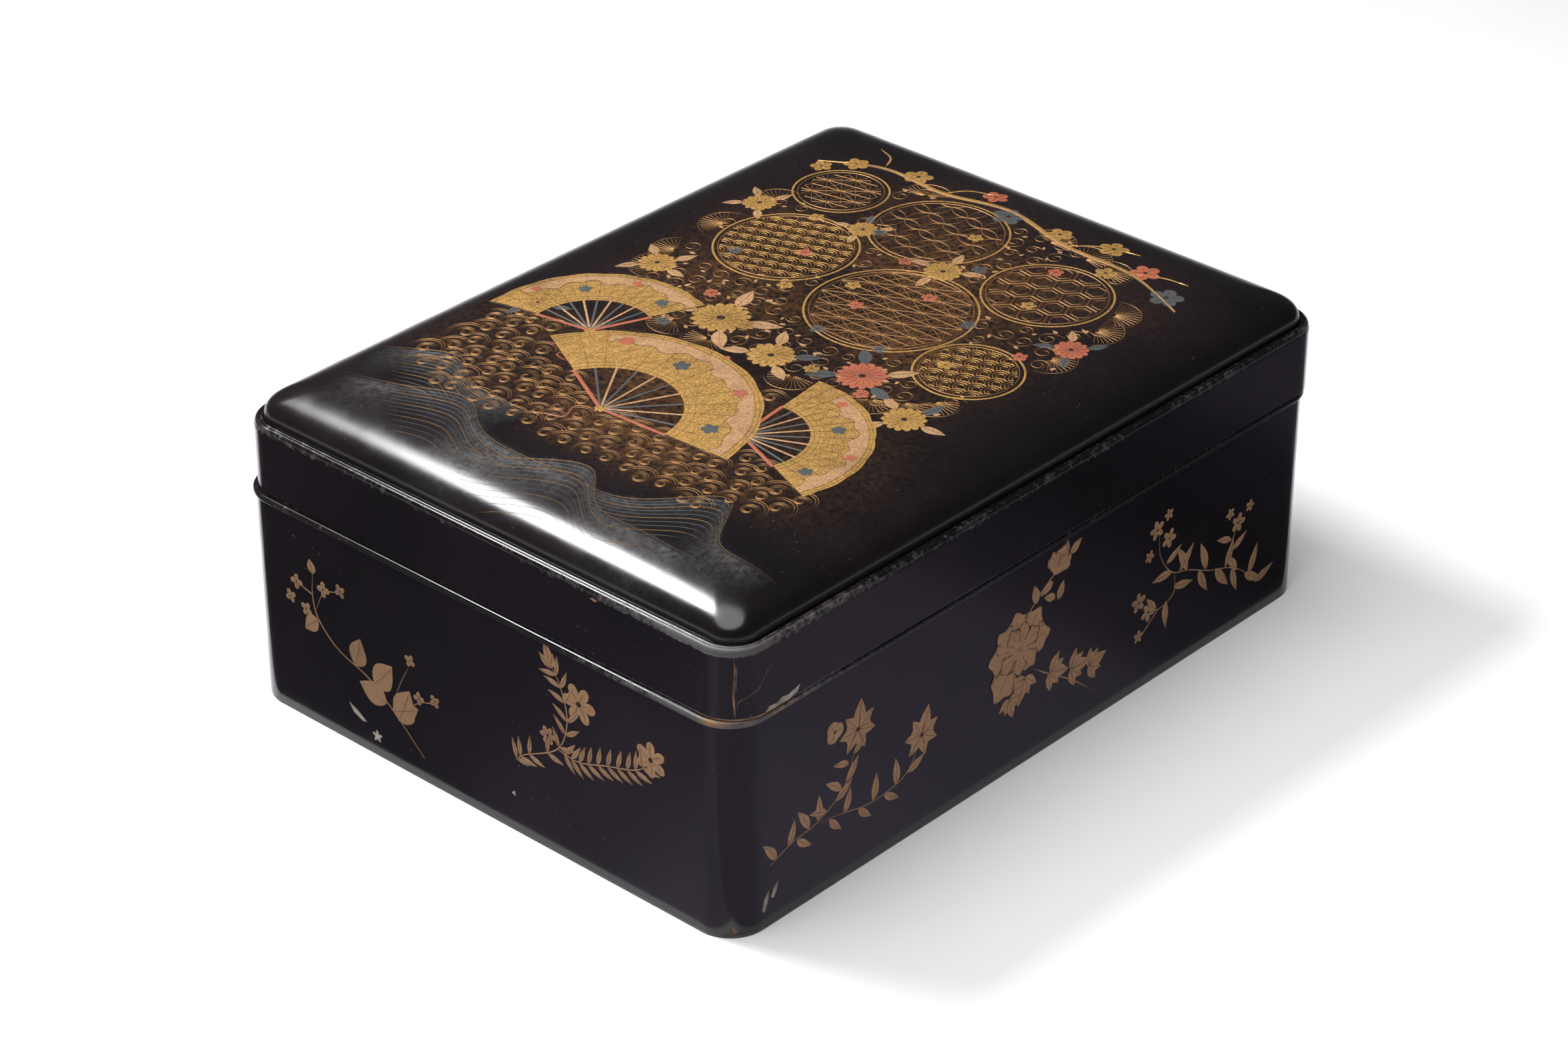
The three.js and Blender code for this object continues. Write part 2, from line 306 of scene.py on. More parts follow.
def fill(shell, surface, outline, centre=None, lift=0.18, tone=0.5, rings=2):
    """A closed leaf of lacquer seen whole from its centre: rings shrunk towards the centre."""
    outline = np.asarray(outline, float)
    turn = np.roll(outline, -1, 0)
    area = np.sum(outline[:, 0] * turn[:, 1] - outline[:, 1] * turn[:, 0])
    outline = outline if area > 0 else outline[::-1]
    centre = outline.mean(0) if centre is None else np.asarray(centre, float)
    scales = np.linspace(0, 1, rings + 1)[1:]
    rows = centre + (outline - centre) * scales[:, None, None]
    lifts = lift * (1 - 0.5 * scales ** 4)
    n = len(outline)
    flat = np.concatenate([centre[None], rows.reshape(-1, 2), outline, centre[None]])
    lifts = np.concatenate([[lift], np.repeat(lifts, n), np.full(n + 1, MOTIF_FOOT)])
    i = np.arange(n)
    j = (i + 1) % n
    tris = [np.stack([np.zeros(n, int), 1 + i, 1 + j], 1)]
    quads = grid_quads(rings + 1, n, False, True) + 1
    low = 1 + rings * n
    tris.append(np.stack([np.full(n, low + n), low + j, low + i], 1))
    shell.add(surface(flat[:, 0], flat[:, 1], lifts), quads, np.concatenate(tris), tone)


def sheet(shell, surface, x, y, lift=0.2, tone=0.5):
    """A closed thin sheet over a grid of places, such as a fan's leaf or a curved band."""
    rows, columns = x.shape
    top, low = surface(x.ravel(), y.ravel(), lift), surface(x.ravel(), y.ravel(), MOTIF_FOOT)
    faces = grid_quads(rows, columns)
    edge = np.concatenate([np.arange(columns), np.arange(1, rows) * columns + columns - 1,
                           (rows - 1) * columns + np.arange(columns - 2, -1, -1),
                           np.arange(rows - 2, 0, -1) * columns])
    after = np.roll(edge, -1)
    n = rows * columns
    side = np.stack([edge, after, after + n, edge + n], 1)
    p = top[faces[0]]
    if np.cross(p[1] - p[0], p[3] - p[0]) @ (top[0] - low[0]) < 0:
        faces, side = faces[:, ::-1], side[:, ::-1]
    side = side[:, ::-1]
    shell.add(np.concatenate([top, low]), np.concatenate([faces, faces[:, ::-1] + n, side]), None, tone)


def turned(points, angle, at, size=1.0):
    """Points turned by an angle in degrees, scaled and moved to a place."""
    a = np.radians(angle)
    turn = np.array([[np.cos(a), np.sin(a)], [-np.sin(a), np.cos(a)]])
    return np.asarray(points, float) * size @ turn + np.asarray(at, float)


def curve(points, steps=10):
    """A smooth path through a few points, by Catmull-Rom weights."""
    p = np.asarray(points, float)
    p = np.concatenate([2 * p[:1] - p[1:2], p, 2 * p[-1:] - p[-2:-1]])
    t = np.linspace(0, 1, steps, endpoint=False)[:, None, None]
    a, b, c, d = p[:-3], p[1:-2], p[2:-1], p[3:]
    bend, twist = 2 * a - 5 * b + 4 * c - d, 3 * b - a - 3 * c + d
    rows = 0.5 * (2 * b + (c - a) * t + bend * t ** 2 + twist * t ** 3)
    return np.concatenate([rows.transpose(1, 0, 2).reshape(-1, 2), p[-2:-1]])


def leaf_shape(width=0.4, bend=0.12, n=12):
    """A lens from 0 to 1 along x, widest before the middle, with its tip bent aside."""
    t = np.linspace(0, 1, n)
    half = width / 2 * np.sin(np.pi * t ** 0.8)
    rib = bend * t ** 2
    top, low = np.stack([t, rib + half], 1), np.stack([t, rib - half], 1)
    return np.concatenate([low, top[-2:0:-1]])


def flower_shape(petals=5, depth=0.35, point=1.0, n=10):
    """Petals as a radius that swells and falls with the angle, point above 1 for sharp tips."""
    angle = np.linspace(0, 2 * np.pi, petals * n, endpoint=False)
    swell = np.abs(np.cos(petals * angle / 2)) ** point
    radius = 1 - depth + depth * swell
    return np.stack([radius * np.cos(angle), radius * np.sin(angle)], 1)


def leaf(shell, lines, surface, at, angle, length, width=0.4, bend=0.1, tone=0.5):
    """A filled lens from its foot along an angle, with a rib along its bent middle."""
    heart = turned([[0.45, bend * 0.2]], angle, at, length)[0]
    fill(shell, surface, turned(leaf_shape(width, bend), angle, at, length), heart, tone=tone)
    t = np.linspace(0.05, 0.9, 6)
    rib = np.stack([t, bend * t ** 2], 1)
    line(lines, surface, turned(rib, angle, at, length), VEIN_WIDTH, VEIN_LIFT, tone)


def petal(shell, lines, surface, at, angle, length, lift, tone=0.5):
    """A broad petal: a pinched foot, a rippled outer edge, a dark outline and three veins."""
    sweep = np.radians(np.linspace(-58, 58, 22))
    reach = 1 + 0.07 * np.cos(7 * sweep) - 0.16 * (sweep / sweep[-1]) ** 4
    edge = np.stack([0.3 + 0.7 * reach * np.cos(sweep), 0.5 * reach * np.sin(sweep)], 1)
    shape = turned(np.concatenate([[[0.0, 0.0]], edge]), angle, at, length)
    fill(shell, surface, shape, turned([[0.5, 0]], angle, at, length)[0], lift, tone)
    line(lines, surface, shape[1:], 0.5, lift + 0.1, tone)
    for vein in (-26, 0, 26):
        t = np.linspace(0.35, 0.85, 5)[:, None]
        ray = t * [np.cos(np.radians(vein)), np.sin(np.radians(vein))]
        line(lines, surface, turned(ray, angle, at, length), 0.35, lift + 0.1, tone)


def flower(shell, lines, surface, at, radius, petals=5, turn=0, tone=0.5, depth=0.4, point=0.7):
    """A filled flower shape, one wavy spoke along each petal and a small disc in the middle."""
    fill(shell, surface, turned(flower_shape(petals, depth, point), turn, at, radius), at, tone=tone, rings=3)
    for k in range(petals):
        spoke = np.stack([np.linspace(0.2, 0.75, 5), 0.06 * np.sin(np.linspace(0, 3, 5))], 1)
        line(lines, surface, turned(spoke, turn + k * 360 / petals, at, radius), 0.4, 0.34, tone)
    ring = flower_shape(8, 0.05)
    fill(lines, surface, turned(ring, 0, at, radius * 0.16), at, 0.34, tone + 0.2, 1)


# Materials

class Nodes:
    """Short names for a material's nodes and links."""

    def __init__(self, name):
        self.material = bpy.data.materials.new(name)
        self.material.use_nodes = True
        self.tree = self.material.node_tree
        self.shader = self.tree.nodes["Principled BSDF"]
        self.place = self.tree.nodes.new("ShaderNodeTexCoord").outputs["Object"]

    def add(self, kind, inputs=None, **settings):
        """A new node whose inputs are set to values, or linked where a socket is given."""
        node = self.tree.nodes.new(kind)
        for key, value in settings.items():
            setattr(node, key, value)
        for key, value in (inputs or {}).items():
            if isinstance(value, bpy.types.NodeSocket):
                self.tree.links.new(value, node.inputs[key])
            else:
                node.inputs[key].default_value = value
        return node

    def noise(self, scale, detail=4, roughness=0.55, stretch=None):
        """Cloud noise from 0 to 1 over the object's own places, stretched when asked."""
        place = self.place
        if stretch:
            place = self.add("ShaderNodeMapping", {"Vector": self.place, "Scale": stretch}).outputs[0]
        return self.add("ShaderNodeTexNoise", {"Vector": place, "Scale": scale, "Detail": detail,
                                               "Roughness": roughness}).outputs["Fac"]

    def span(self, value, low, high, to_low=0.0, to_high=1.0):
        """The value carried evenly from one range to another, and held at its ends."""
        return self.add("ShaderNodeMapRange", {"Value": value, "From Min": low, "From Max": high,
                                               "To Min": to_low, "To Max": to_high}).outputs[0]

    def math(self, operation, a, b=0.0):
        """One step of arithmetic on two values."""
        return self.add("ShaderNodeMath", {0: a, 1: b}, operation=operation).outputs[0]

    def mix(self, factor, a, b):
        """Colour a where the factor is 0, b where it is 1."""
        node = self.add("ShaderNodeMix", {0: factor, 6: a, 7: b}, data_type="RGBA")
        return node.outputs[2]

    def attribute(self, name):
        """A value stored with the mesh's vertices."""
        return self.add("ShaderNodeAttribute", attribute_name=name).outputs["Fac"]

    def bump(self, height, strength, distance):
        """Fine relief from a height."""
        bump = self.add("ShaderNodeBump", {"Height": height, "Strength": strength, "Distance": distance})
        self.tree.links.new(bump.outputs[0], self.shader.inputs["Normal"])

    def set(self, **inputs):
        """Sets or links the shader's inputs, named with underscores for spaces."""
        for key, value in inputs.items():
            socket = self.shader.inputs[key.replace("_", " ")]
            if isinstance(value, bpy.types.NodeSocket):
                self.tree.links.new(value, socket)
            else:
                socket.default_value = value


def rgba(colour):
    """The colour with an alpha of 1."""
    return tuple(colour) + (1.0,)


def lacquer_material(name, settings, gloss=0.13, powdered=False):
    """Near-black lacquer: hand-rubbed gloss, faint waves and scratches, dust, and worn edges.

    Where the tone attribute rises the lacquer wears through to grey, then to copper brown.
    On the lid it stands for powder instead: brown-gold where positive, silver where negative.
    """
    n = Nodes(name)
    cloud = n.noise(9, 3)
    base = n.mix(n.span(cloud, 0.35, 0.65), rgba(settings.lacquer_colour), rgba(settings.lacquer_tint))
    specks = n.add("ShaderNodeTexVoronoi", {"Vector": n.place, "Scale": 210.0}).outputs["Distance"]
    scatter = n.span(n.noise(26, 2), 0.5, 0.72)
    dust = n.math("MULTIPLY", n.span(specks, 0.10, 0.04), scatter)
    base = n.mix(n.math("MULTIPLY", dust, 0.35), base, (0.30, 0.28, 0.26, 1))
    rough = n.span(n.noise(60, 5), 0.3, 0.75, gloss, gloss + 0.09)
    tone = n.attribute("tone")
    grit = n.noise(330, 6, 0.7)
    if powdered:
        warm = n.math("MULTIPLY", n.span(tone, 0.0, 1.0), n.span(grit, 0.38, 0.62))
        cold = n.math("MULTIPLY", n.span(tone, 0.0, -1.0), n.span(grit, 0.28, 0.66))
        base = n.mix(n.math("MULTIPLY", warm, 0.75), base, rgba(settings.powder_colour))
        base = n.mix(n.math("MULTIPLY", cold, 0.85), base, rgba(settings.silver_colour))
        rough = n.math("ADD", rough, n.math("MULTIPLY", n.math("ADD", warm, cold), 0.16))
    else:
        patchy = n.math("ADD", tone, n.span(grit, 0.3, 0.7, -0.45, 0.25))
        grey = n.span(patchy, 0.25, 0.7)
        copper = n.math("MULTIPLY", n.span(patchy, 0.55, 0.95), n.span(n.noise(40, 3), 0.48, 0.62))
        base = n.mix(n.math("MULTIPLY", grey, 0.85), base, rgba(settings.worn_colour))
        base = n.mix(copper, base, rgba(settings.copper_colour))
        rough = n.math("ADD", rough, n.math("MULTIPLY", grey, 0.28))
    n.set(Base_Color=base, Roughness=rough, IOR=1.52)
    scratches = n.math("MULTIPLY", n.noise(120, 3, 0.5, (1, 0.04, 1)), 0.05)
    n.bump(n.math("ADD", n.noise(14, 2), scratches), 0.12, 0.0006)
    return n.material


def metal_powder_material(name, colour, dark, settings, metal=0.7, gloss=0.34):
    """Sprinkled metal powder sealed under lacquer: grainy, rubbed thin in places."""
    n = Nodes(name)
    grain = n.noise(900, 4, 0.7)
    rubbed = n.math("MULTIPLY", n.span(n.noise(34, 5, 0.6), 0.5, 0.75), settings.rubbing)
    shade = n.mix(n.span(grain, 0.3, 0.7), rgba(dark), rgba(colour))
    tone = n.attribute("tone")
    shade = n.mix(n.span(tone, 0.5, 0.0, 0.0, 0.8), shade, rgba(dark))
    shade = n.mix(rubbed, shade, rgba(settings.lacquer_tint))
    n.set(Base_Color=shade, Metallic=metal, Roughness=n.span(grain, 0.2, 0.8, gloss, gloss + 0.2))
    n.bump(grain, 0.25, 0.0002)
    return n.material


def plain_chip_material(name, colour, deep):
    """Bare ground or wood where the lacquer has chipped away: dull and uneven."""
    n = Nodes(name)
    shade = n.mix(n.span(n.noise(160, 5), 0.35, 0.65), rgba(colour), rgba(deep))
    n.set(Base_Color=shade, Roughness=0.75)
    n.bump(n.noise(420, 4), 0.5, 0.0004)
    return n.material


def colour_property(name, description, default):
    """A colour that can be changed in the panel."""
    return bpy.props.FloatVectorProperty(name=name, description=description, default=default,
                                         subtype="COLOR", size=3, min=0.0, max=1.0)


def size_property(name, description, millimetres, most):
    """A length that can be changed in the panel, given in millimetres and kept in metres."""
    return bpy.props.FloatProperty(name=name, description=description, default=millimetres * MM,
                                   min=0.0, max=most * MM, precision=5, unit="LENGTH")


class DocumentBoxSizes(bpy.types.PropertyGroup):
    """Sizes of the rounded edges, the wear near the corner and the open mitre."""
    foot_round: size_property("Foot round", "Radius along the foot of the walls", 0.7, 1.2)
    rim_round: size_property("Rim round", "Radius of the rim strips' upper edges", 1.2, 1.5)
    shoulder_reach: size_property("Shoulder reach", "How far the lid's shoulder reaches in", 2.0, 2.4)
    shoulder_rise: size_property("Shoulder rise", "How far the lid's shoulder rises", 2.8, 5.0)
    knock_reach: size_property("Knock reach", "How far wear spreads from the near corner", 60.0, 400.0)
    crack_width: size_property("Crack width", "Width of the open mitre at the lid's near corner", 1.7, 4.0)


class DocumentBoxFinish(bpy.types.PropertyGroup):
    """Colours and wear of the lacquer and the metal powders."""
    lacquer_colour: colour_property("Lacquer", "Near-black of the lacquer", (0.0045, 0.0036, 0.0046))
    lacquer_tint: colour_property("Lacquer tint", "Brown-violet clouding", (0.0085, 0.006, 0.0078))
    worn_colour: colour_property("Worn edge", "Grey of a rubbed edge", (0.085, 0.08, 0.08))
    copper_colour: colour_property("Bare edge", "Copper brown under the lacquer", (0.24, 0.12, 0.055))
    gold_colour: colour_property("Gold", "Bright gold powder", (0.80, 0.49, 0.16))
    gold_shade: colour_property("Gold shade", "Thin part of the gold", (0.44, 0.22, 0.055))
    bronze_colour: colour_property("Bronze", "Flat brown-gold powder of the sprays", (0.56, 0.325, 0.16))
    bronze_shade: colour_property("Bronze shade", "Thin part of the bronze", (0.27, 0.15, 0.075))
    powder_colour: colour_property("Powdered ground", "Brown-gold dust in the lid", (0.15, 0.065, 0.02))
    silver_colour: colour_property("Silver mist", "Silver-grey dust along the front", (0.16, 0.155, 0.155))
    red_colour: colour_property("Coral red", "Red lacquer accents", (0.36, 0.045, 0.028))
    ink_colour: colour_property("Ink", "Dark brown lines on gold and veins", (0.035, 0.016, 0.008))
    slate_colour: colour_property("Slate", "Blue-grey accents", (0.075, 0.085, 0.09))
    rubbing: bpy.props.FloatProperty(name="Rubbing", description="How far the powder is rubbed away",
                                     default=0.35, min=0.0, max=1.0, subtype="FACTOR")


class DocumentBoxStudio(bpy.types.PropertyGroup):
    """Camera and lights."""
    lens: bpy.props.FloatProperty(name="Lens", description="Focal length on a 36 mm wide sensor",
                                  default=99.83, min=10.0, subtype="DISTANCE_CAMERA")
    camera_place: bpy.props.FloatVectorProperty(name="Camera", description="Where the camera stands",
                                                default=(1.2509, -1.3750, 1.1647), subtype="TRANSLATION")
    camera_turn: bpy.props.FloatProperty(name="Turn", description="Turn to the left of straight ahead",
                                         default=0.7394, subtype="ANGLE")
    camera_tilt: bpy.props.FloatProperty(name="Tilt", description="Tilt below the horizon",
                                         default=0.5341, subtype="ANGLE")
    key_power: bpy.props.FloatProperty(name="Key power", description="Softbox power in watts",
                                       default=26.0, min=0.0, unit="POWER")
    fill_power: bpy.props.FloatProperty(name="Fill power", description="Overhead fill in watts",
                                        default=92.0, min=0.0, unit="POWER")


# Lacquers: roughness where best rubbed, and whether the tone attribute stands for powder
LACQUERS = {
    "outer lacquer": (0.13, False),
    "inner lacquer": (0.28, False),
    "lid lacquer": (0.17, True),
}
# Powders and coloured lacquers: colour, colour where thin, metal, roughness where best rubbed
POWDERS = {
    "gold powder": ("gold_colour", "gold_shade", 0.7, 0.34),
    "bronze powder": ("bronze_colour", "bronze_shade", 0.35, 0.42),
    "fine gold line": ("gold_shade", "bronze_shade", 0.6, 0.38),
    "brown ink": ("ink_colour", "lacquer_tint", 0.0, 0.35),
    "silver powder": ("silver_colour", "worn_colour", 0.6, 0.36),
    "coral lacquer": ("red_colour", "copper_colour", 0.0, 0.4),
    "slate lacquer": ("slate_colour", "worn_colour", 0.3, 0.35),
}


def size_settings():
    """The sizes set in the panel."""
    return bpy.context.scene.document_box_sizes


def finish_settings():
    """The colours and wear set in the panel."""
    return bpy.context.scene.document_box_finish


def material(name, make):
    """The named material, made once."""
    return bpy.data.materials.get(name) or make()


def lacquer(name):
    """One of the lacquers of the table."""
    gloss, powdered = LACQUERS[name]
    return material(name, lambda: lacquer_material(name, finish_settings(), gloss, powdered))


def powder(name):
    """One of the powders of the table, in the panel's colours."""
    s = finish_settings()
    colour, thin, metal, gloss = POWDERS[name]
    return material(name, lambda: metal_powder_material(
        name, getattr(s, colour), getattr(s, thin), s, metal, gloss))


# Box and lid

EDGE_CROWDING = 1.8    # power that crowds the dome's contours towards the ledge
HOLLOW_CROWDING = 1.6  # the same for the hollow's contours


def ring_piece(name, runs, body, slot, nodes, lid=False, finish="outer lacquer", knocks=0.0):
    """A ring swept from runs of section points, each run with one wear value.

    The wear is broken up by noise. Knocks adds wear that fades with the distance from the
    near corner as a bell curve.
    """
    section = [point for points, _ in runs for point in points]
    wear = np.array([value for points, value in runs for _ in points])
    verts, quads = swept_ring(section, *(LID_PLAN if lid else BOX_PLAN))
    patch = smooth_noise(7, verts[..., 0] * 0.09, verts[..., 1] * 0.09, verts[..., 2] * 0.3)
    away = np.hypot(verts[..., 0] - BOX_HALF_X, verts[..., 1] + BOX_HALF_Y)
    knocked = knocks * np.exp(-(away / (size_settings().knock_reach / MM)) ** 2)
    tone = wear * (0.78 + 0.4 * patch + knocked)
    shell = Shell()
    shell.add(verts, quads, None, np.clip(tone, 0, 1).ravel())
    piece = shell.build(name, lacquer(finish), body, slot)
    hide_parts(*nodes)


def closed_rings(rings, top, low):
    """Rings joined in order, with a fan round (0, 0, top) to the first and (0, 0, low) to the last."""
    n = len(rings[0])
    i = np.arange(n)
    j = (i + 1) % n
    verts = np.concatenate(rings + [[[0, 0, top], [0, 0, low]]])
    hub, last = len(rings) * n, (len(rings) - 1) * n
    tris = np.concatenate([np.stack([np.full(n, hub), i, j], 1),
                           np.stack([np.full(n, hub + 1), last + j, last + i], 1)])
    return verts, grid_quads(len(rings), n, False, True), tris


class DOCUMENTBOX_OT_box(bpy.types.Operator):
    """Builds the box: walls, base board, bead and rim strips"""
    bl_idname = "document_box.box"
    bl_label = "Box"

    def execute(self, context):
        self.walls()
        self.bead()
        self.rim_strips()
        self.base_board()
        return {"FINISHED"}

    def walls(self):
        """Plain walls that lean in towards a rounded foot, with a rebate behind the bead."""
        foot = size_settings().foot_round / MM
        rebate = BEAD_BOTTOM - 0.15
        runs = (
            ([(BOX_WALL, 0.0)], 0),
            ([(WALL_LEAN + foot + 0.2, 0.0)], 0.2),
            (arc((WALL_LEAN + foot, foot), foot, foot, 270, 180), 0.36),
            ([(WALL_LEAN, 1.3)], 0.2),
            ([(WALL_LEAN, 3.2)], 0.05),
            ([(0.08, rebate - 3)], 0),
            ([(0.0, rebate)], 0.1),
            ([(1.4, rebate), (1.4, BOX_TOP), (BOX_WALL, BOX_TOP)], 0.2),
        )
        ring_piece("box_walls", runs, "box", "black_lacquer", [f"box_wall_{s}" for s in SIDES], knocks=1.0)

    def bead(self):
        """Half an ellipse that stands proud of the seam."""
        middle = (BOX_TOP + BEAD_BOTTOM) / 2
        half = (BOX_TOP - BEAD_BOTTOM) / 2
        runs = (
            ([(1.3, BEAD_BOTTOM + 0.02)], 0),
            (arc((0.0, middle), BEAD_PROUD, half, 270, 90, 14), 0.3),
            ([(1.3, BOX_TOP - 0.02)], 0),
        )
        ring_piece("seam_bead_smooth", runs, "box", "worn_lacquer", ["seam_bead"], knocks=3.0)

    def rim_strips(self):
        """The inner rim, rounded along both upper edges."""
        r = size_settings().rim_round / MM
        outer, inner = BOX_WALL + 0.05, BOX_WALL + JOINT_GAP + RIM_THICKNESS
        runs = (
            ([(inner, RIM_BOTTOM), (outer, RIM_BOTTOM), (outer, RIM_TOP - r)], 0),
            (arc((outer + r, RIM_TOP - r), r, r, 180, 90), 0.5),
            (arc((inner - r, RIM_TOP - r), r, r, 90, 0), 0.5),
        )
        ring_piece("rim_strips_smooth", runs, "box", "inner_lacquer", [f"rim_strip_{s}" for s in SIDES],
                   finish="inner lacquer")

    def base_board(self):
        """A slab with softened edges: the plan outline at a few scales and heights."""
        centres, normals = outline_stations(BOX_HALF_X, BOX_HALF_Y, BOX_RADIUS, 12, 20, 28)
        edge = centres + (BOX_RADIUS - BOX_WALL - 0.1) * normals
        scales = [(0.5, BASE_TOP), (0.98, BASE_TOP), (1, BASE_TOP - 0.4), (1, 0.4), (0.98, 0.0), (0.5, 0.0)]
        rings = [np.column_stack([edge * k, np.full(len(edge), z)]) for k, z in scales]
        shell = Shell()
        shell.add(*closed_rings(rings, BASE_TOP, 0), 0.0)
        piece = shell.build("base_board_smooth", lacquer("inner lacquer"), "box", "inner_lacquer")
        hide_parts("base_board")


class DOCUMENTBOX_OT_lid(bpy.types.Operator):
    """Builds the lid: walls with their worn shoulder, and the crowned panel"""
    bl_idname = "document_box.lid"
    bl_label = "Lid"

    def execute(self, context):
        self.walls()
        self.panel()
        return {"FINISHED"}

    def walls(self):
        """Upright walls with a rounded shoulder, then two small grooves up to the panel's edge."""
        reach, rise = size_settings().shoulder_reach / MM, size_settings().shoulder_rise / MM
        shoulder = LEDGE - rise - 0.6
        runs = (
            ([(LID_WALL, LID_BOTTOM)], 0),
            ([(0.9, LID_BOTTOM)], 0.2),
            (arc((0.5, LID_BOTTOM + 0.5), 0.5, 0.5, 270, 180, 4), 0.5),
            ([(0.0, LID_BOTTOM + 1.4)], 0.1),
            ([(0.0, shoulder - 1.0)], 0.05),
            ([(0.0, shoulder)], 0.3),
            ([(0.22, shoulder + 0.25)], 0.42),
            (arc((reach + 0.2, shoulder + 0.5), reach, rise, 180, 90, 8), 0.44),
            ([(2.7, LEDGE - 0.15), (2.95, LEDGE - 0.5)], 0.2),
            ([(3.3, LEDGE - 0.2), (3.8, LEDGE - 0.1)], 0.4),
            ([(4.3, LEDGE - 0.2), (4.75, LEDGE - 0.45)], 0.1),
            ([(4.75, PANEL_BOTTOM - 0.2), (LID_WALL, PANEL_BOTTOM - 0.2)], 0),
        )
        ring_piece("lid_walls", runs, "lid", "black_lacquer", [f"lid_wall_{s}" for s in SIDES], lid=True,
                   knocks=1.2)

    def panel(self):
        """Contours of the dome and of the hollow below it, joined and closed at both middles."""
        def contour(inset, base, scale=1.0, crowned=FIELD_CROWN):
            """The plan outline at an inset, scaled, at a base height plus the crown's share."""
            radius = float(ring_radius(inset))
            centres, normals = outline_stations(LID_HALF_X - inset, LID_HALF_Y - inset, radius, 14, 56, 72)
            xy = (centres + radius * normals) * scale
            return np.column_stack([xy, base + crowned * crown(*xy.T)])

        field, hollow = DOME_START + DOME_RISE, PANEL_BOTTOM + HOLLOW_RISE
        rings = [contour(PANEL_EDGE + DOME_ROUND, field, k) for k in np.linspace(0, 1, 34)[1:-1]]
        for past in DOME_ROUND * np.linspace(1, 0, 34) ** EDGE_CROWDING:
            rings.append(contour(PANEL_EDGE + past, DOME_START + DOME_RISE * dome_profile(past)))
        for inset in (PANEL_EDGE, HOLLOW_INSET):
            rings.append(contour(inset, PANEL_BOTTOM, crowned=0))
        for past in DOME_ROUND * np.linspace(0, 1, 14)[1:] ** HOLLOW_CROWDING:
            rings.append(contour(HOLLOW_INSET + past, PANEL_BOTTOM + HOLLOW_RISE * dome_profile(past)))
        verts, quads, tris = closed_rings(rings, field + FIELD_CROWN, hollow + FIELD_CROWN)
        tone = np.where(verts[:, 2] > DOME_START - 0.1, powder_tone(verts[:, 0], verts[:, 1]), 0.0)
        verts[:, :2] += LID_SHIFT
        shell = Shell()
        shell.add(verts, quads, tris, tone)
        piece = shell.build("lid_panel_smooth", lacquer("lid lacquer"), "lid", "black_lacquer")
        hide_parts("lid_panel")


# The lid's picture: fans on running water, roundels of old patterns, a plum bough

FANS = (
    # middle x, middle y, turn of its middle rib in degrees, spread, inner and outer radius
    (-14, -118, 78, 150, 22, 76),
    (52, -92, 38, 118, 18, 62),
    (-72, -66, 128, 122, 18, 60),
)
FAN_LEAF_START = 0.32  # share of the way out at which a fan's leaf begins
FAN_PLEATS = 14
FAN_RIBS = 11
ROUNDELS = (
    # x, y, radius, pattern
    (-62, 64, 37, "waves"),
    (22, 48, 43, "hemp"),
    (-16, 128, 36, "rings"),
    (68, 112, 33, "shell"),
    (-84, 130, 25, "hemp"),
    (90, 26, 27, "waves"),
)
WATER_CRESTS = (
    # start x, end x, base y, rise of the hump, place of the hump, its width
    (-132, 40, -172, 20, -70, 34),
    (-60, 118, -184, 24, 20, 30),
    (20, 146, -172, 34, 88, 24),
    (-140, -30, -142, 16, -102, 26),
)
WATER_LINES = 13
WATER_POINTS = 80

# Rounded fields of the lid: middle x, middle y, half width, half length
CLOTH_FIELD = (4, 62, 104, 96)
FOAM_FIELD = (-4, -98, 118, 52)
SCROLL_FIELD = (-2, -104, 124, 52)
VINE_FIELD = (4, 62, 108, 98)
TUFT_FIELD = (4, 62, 106, 96)


def field_depth(x, y, field):
    """Fourth powers of the shares of a field's half sizes, summed: below 1 within the field."""
    middle_x, middle_y, half_x, half_y = field
    return ((x - middle_x) / half_x) ** 4 + ((y - middle_y) / half_y) ** 4


def crest_height(x, base, rise, place, width):
    """A leaning hump along the water: a bell curve with a slower tail on its left."""
    side = np.where(x < place, width, width * 0.62)
    return base + rise * np.exp(-((x - place) / side) ** 2)


def powder_tone(x, y):
    """Powder in the lid: brown-gold round the picture, silver below each crest of the water."""
    cloth = np.exp(-field_depth(x, y, CLOTH_FIELD)) * 0.8
    foam = np.exp(-field_depth(x, y, FOAM_FIELD)) * 0.75
    warm = np.maximum(cloth, foam) * (0.6 + 0.5 * smooth_noise(3, x * 0.05, y * 0.05))
    cold = np.zeros_like(x)
    for start, end, base, rise, place, width in WATER_CRESTS:
        below = crest_height(x, base, rise, place, width) - y
        within = np.clip((x - start) / 24, 0, 1) * np.clip((end - x) / 24, 0, 1)
        cold = np.maximum(cold, np.exp(-np.abs(below - 2.5) / np.where(below > 2.5, 12, 1.5)) * within)
    cold = cold * (0.62 + 0.35 * smooth_noise(9, x * 0.06, y * 0.06))
    return np.clip(warm, 0, 1) * (cold < 0.08) - np.clip(cold, 0, 1) * 0.85


def spiral(turns, start, end, n=40):
    """A curl whose radius eases from end to start while it turns."""
    t = np.linspace(0, 1, n)
    radius = end + (start - end) * (1 - t) ** 0.8
    angle = t * turns * 2 * np.pi
    return np.stack([radius * np.cos(angle), radius * np.sin(angle)], 1)


def inside_circle(path, centre, radius):
    """The runs of a path that lie inside a circle, each at least four points long."""
    keep = np.hypot(*(path - np.asarray(centre)).T) < radius
    cuts = np.flatnonzero(np.diff(keep.astype(int))) + 1
    return [run for run, kept in zip(np.split(path, cuts), np.split(keep, cuts)) if kept[0] and len(run) > 3]


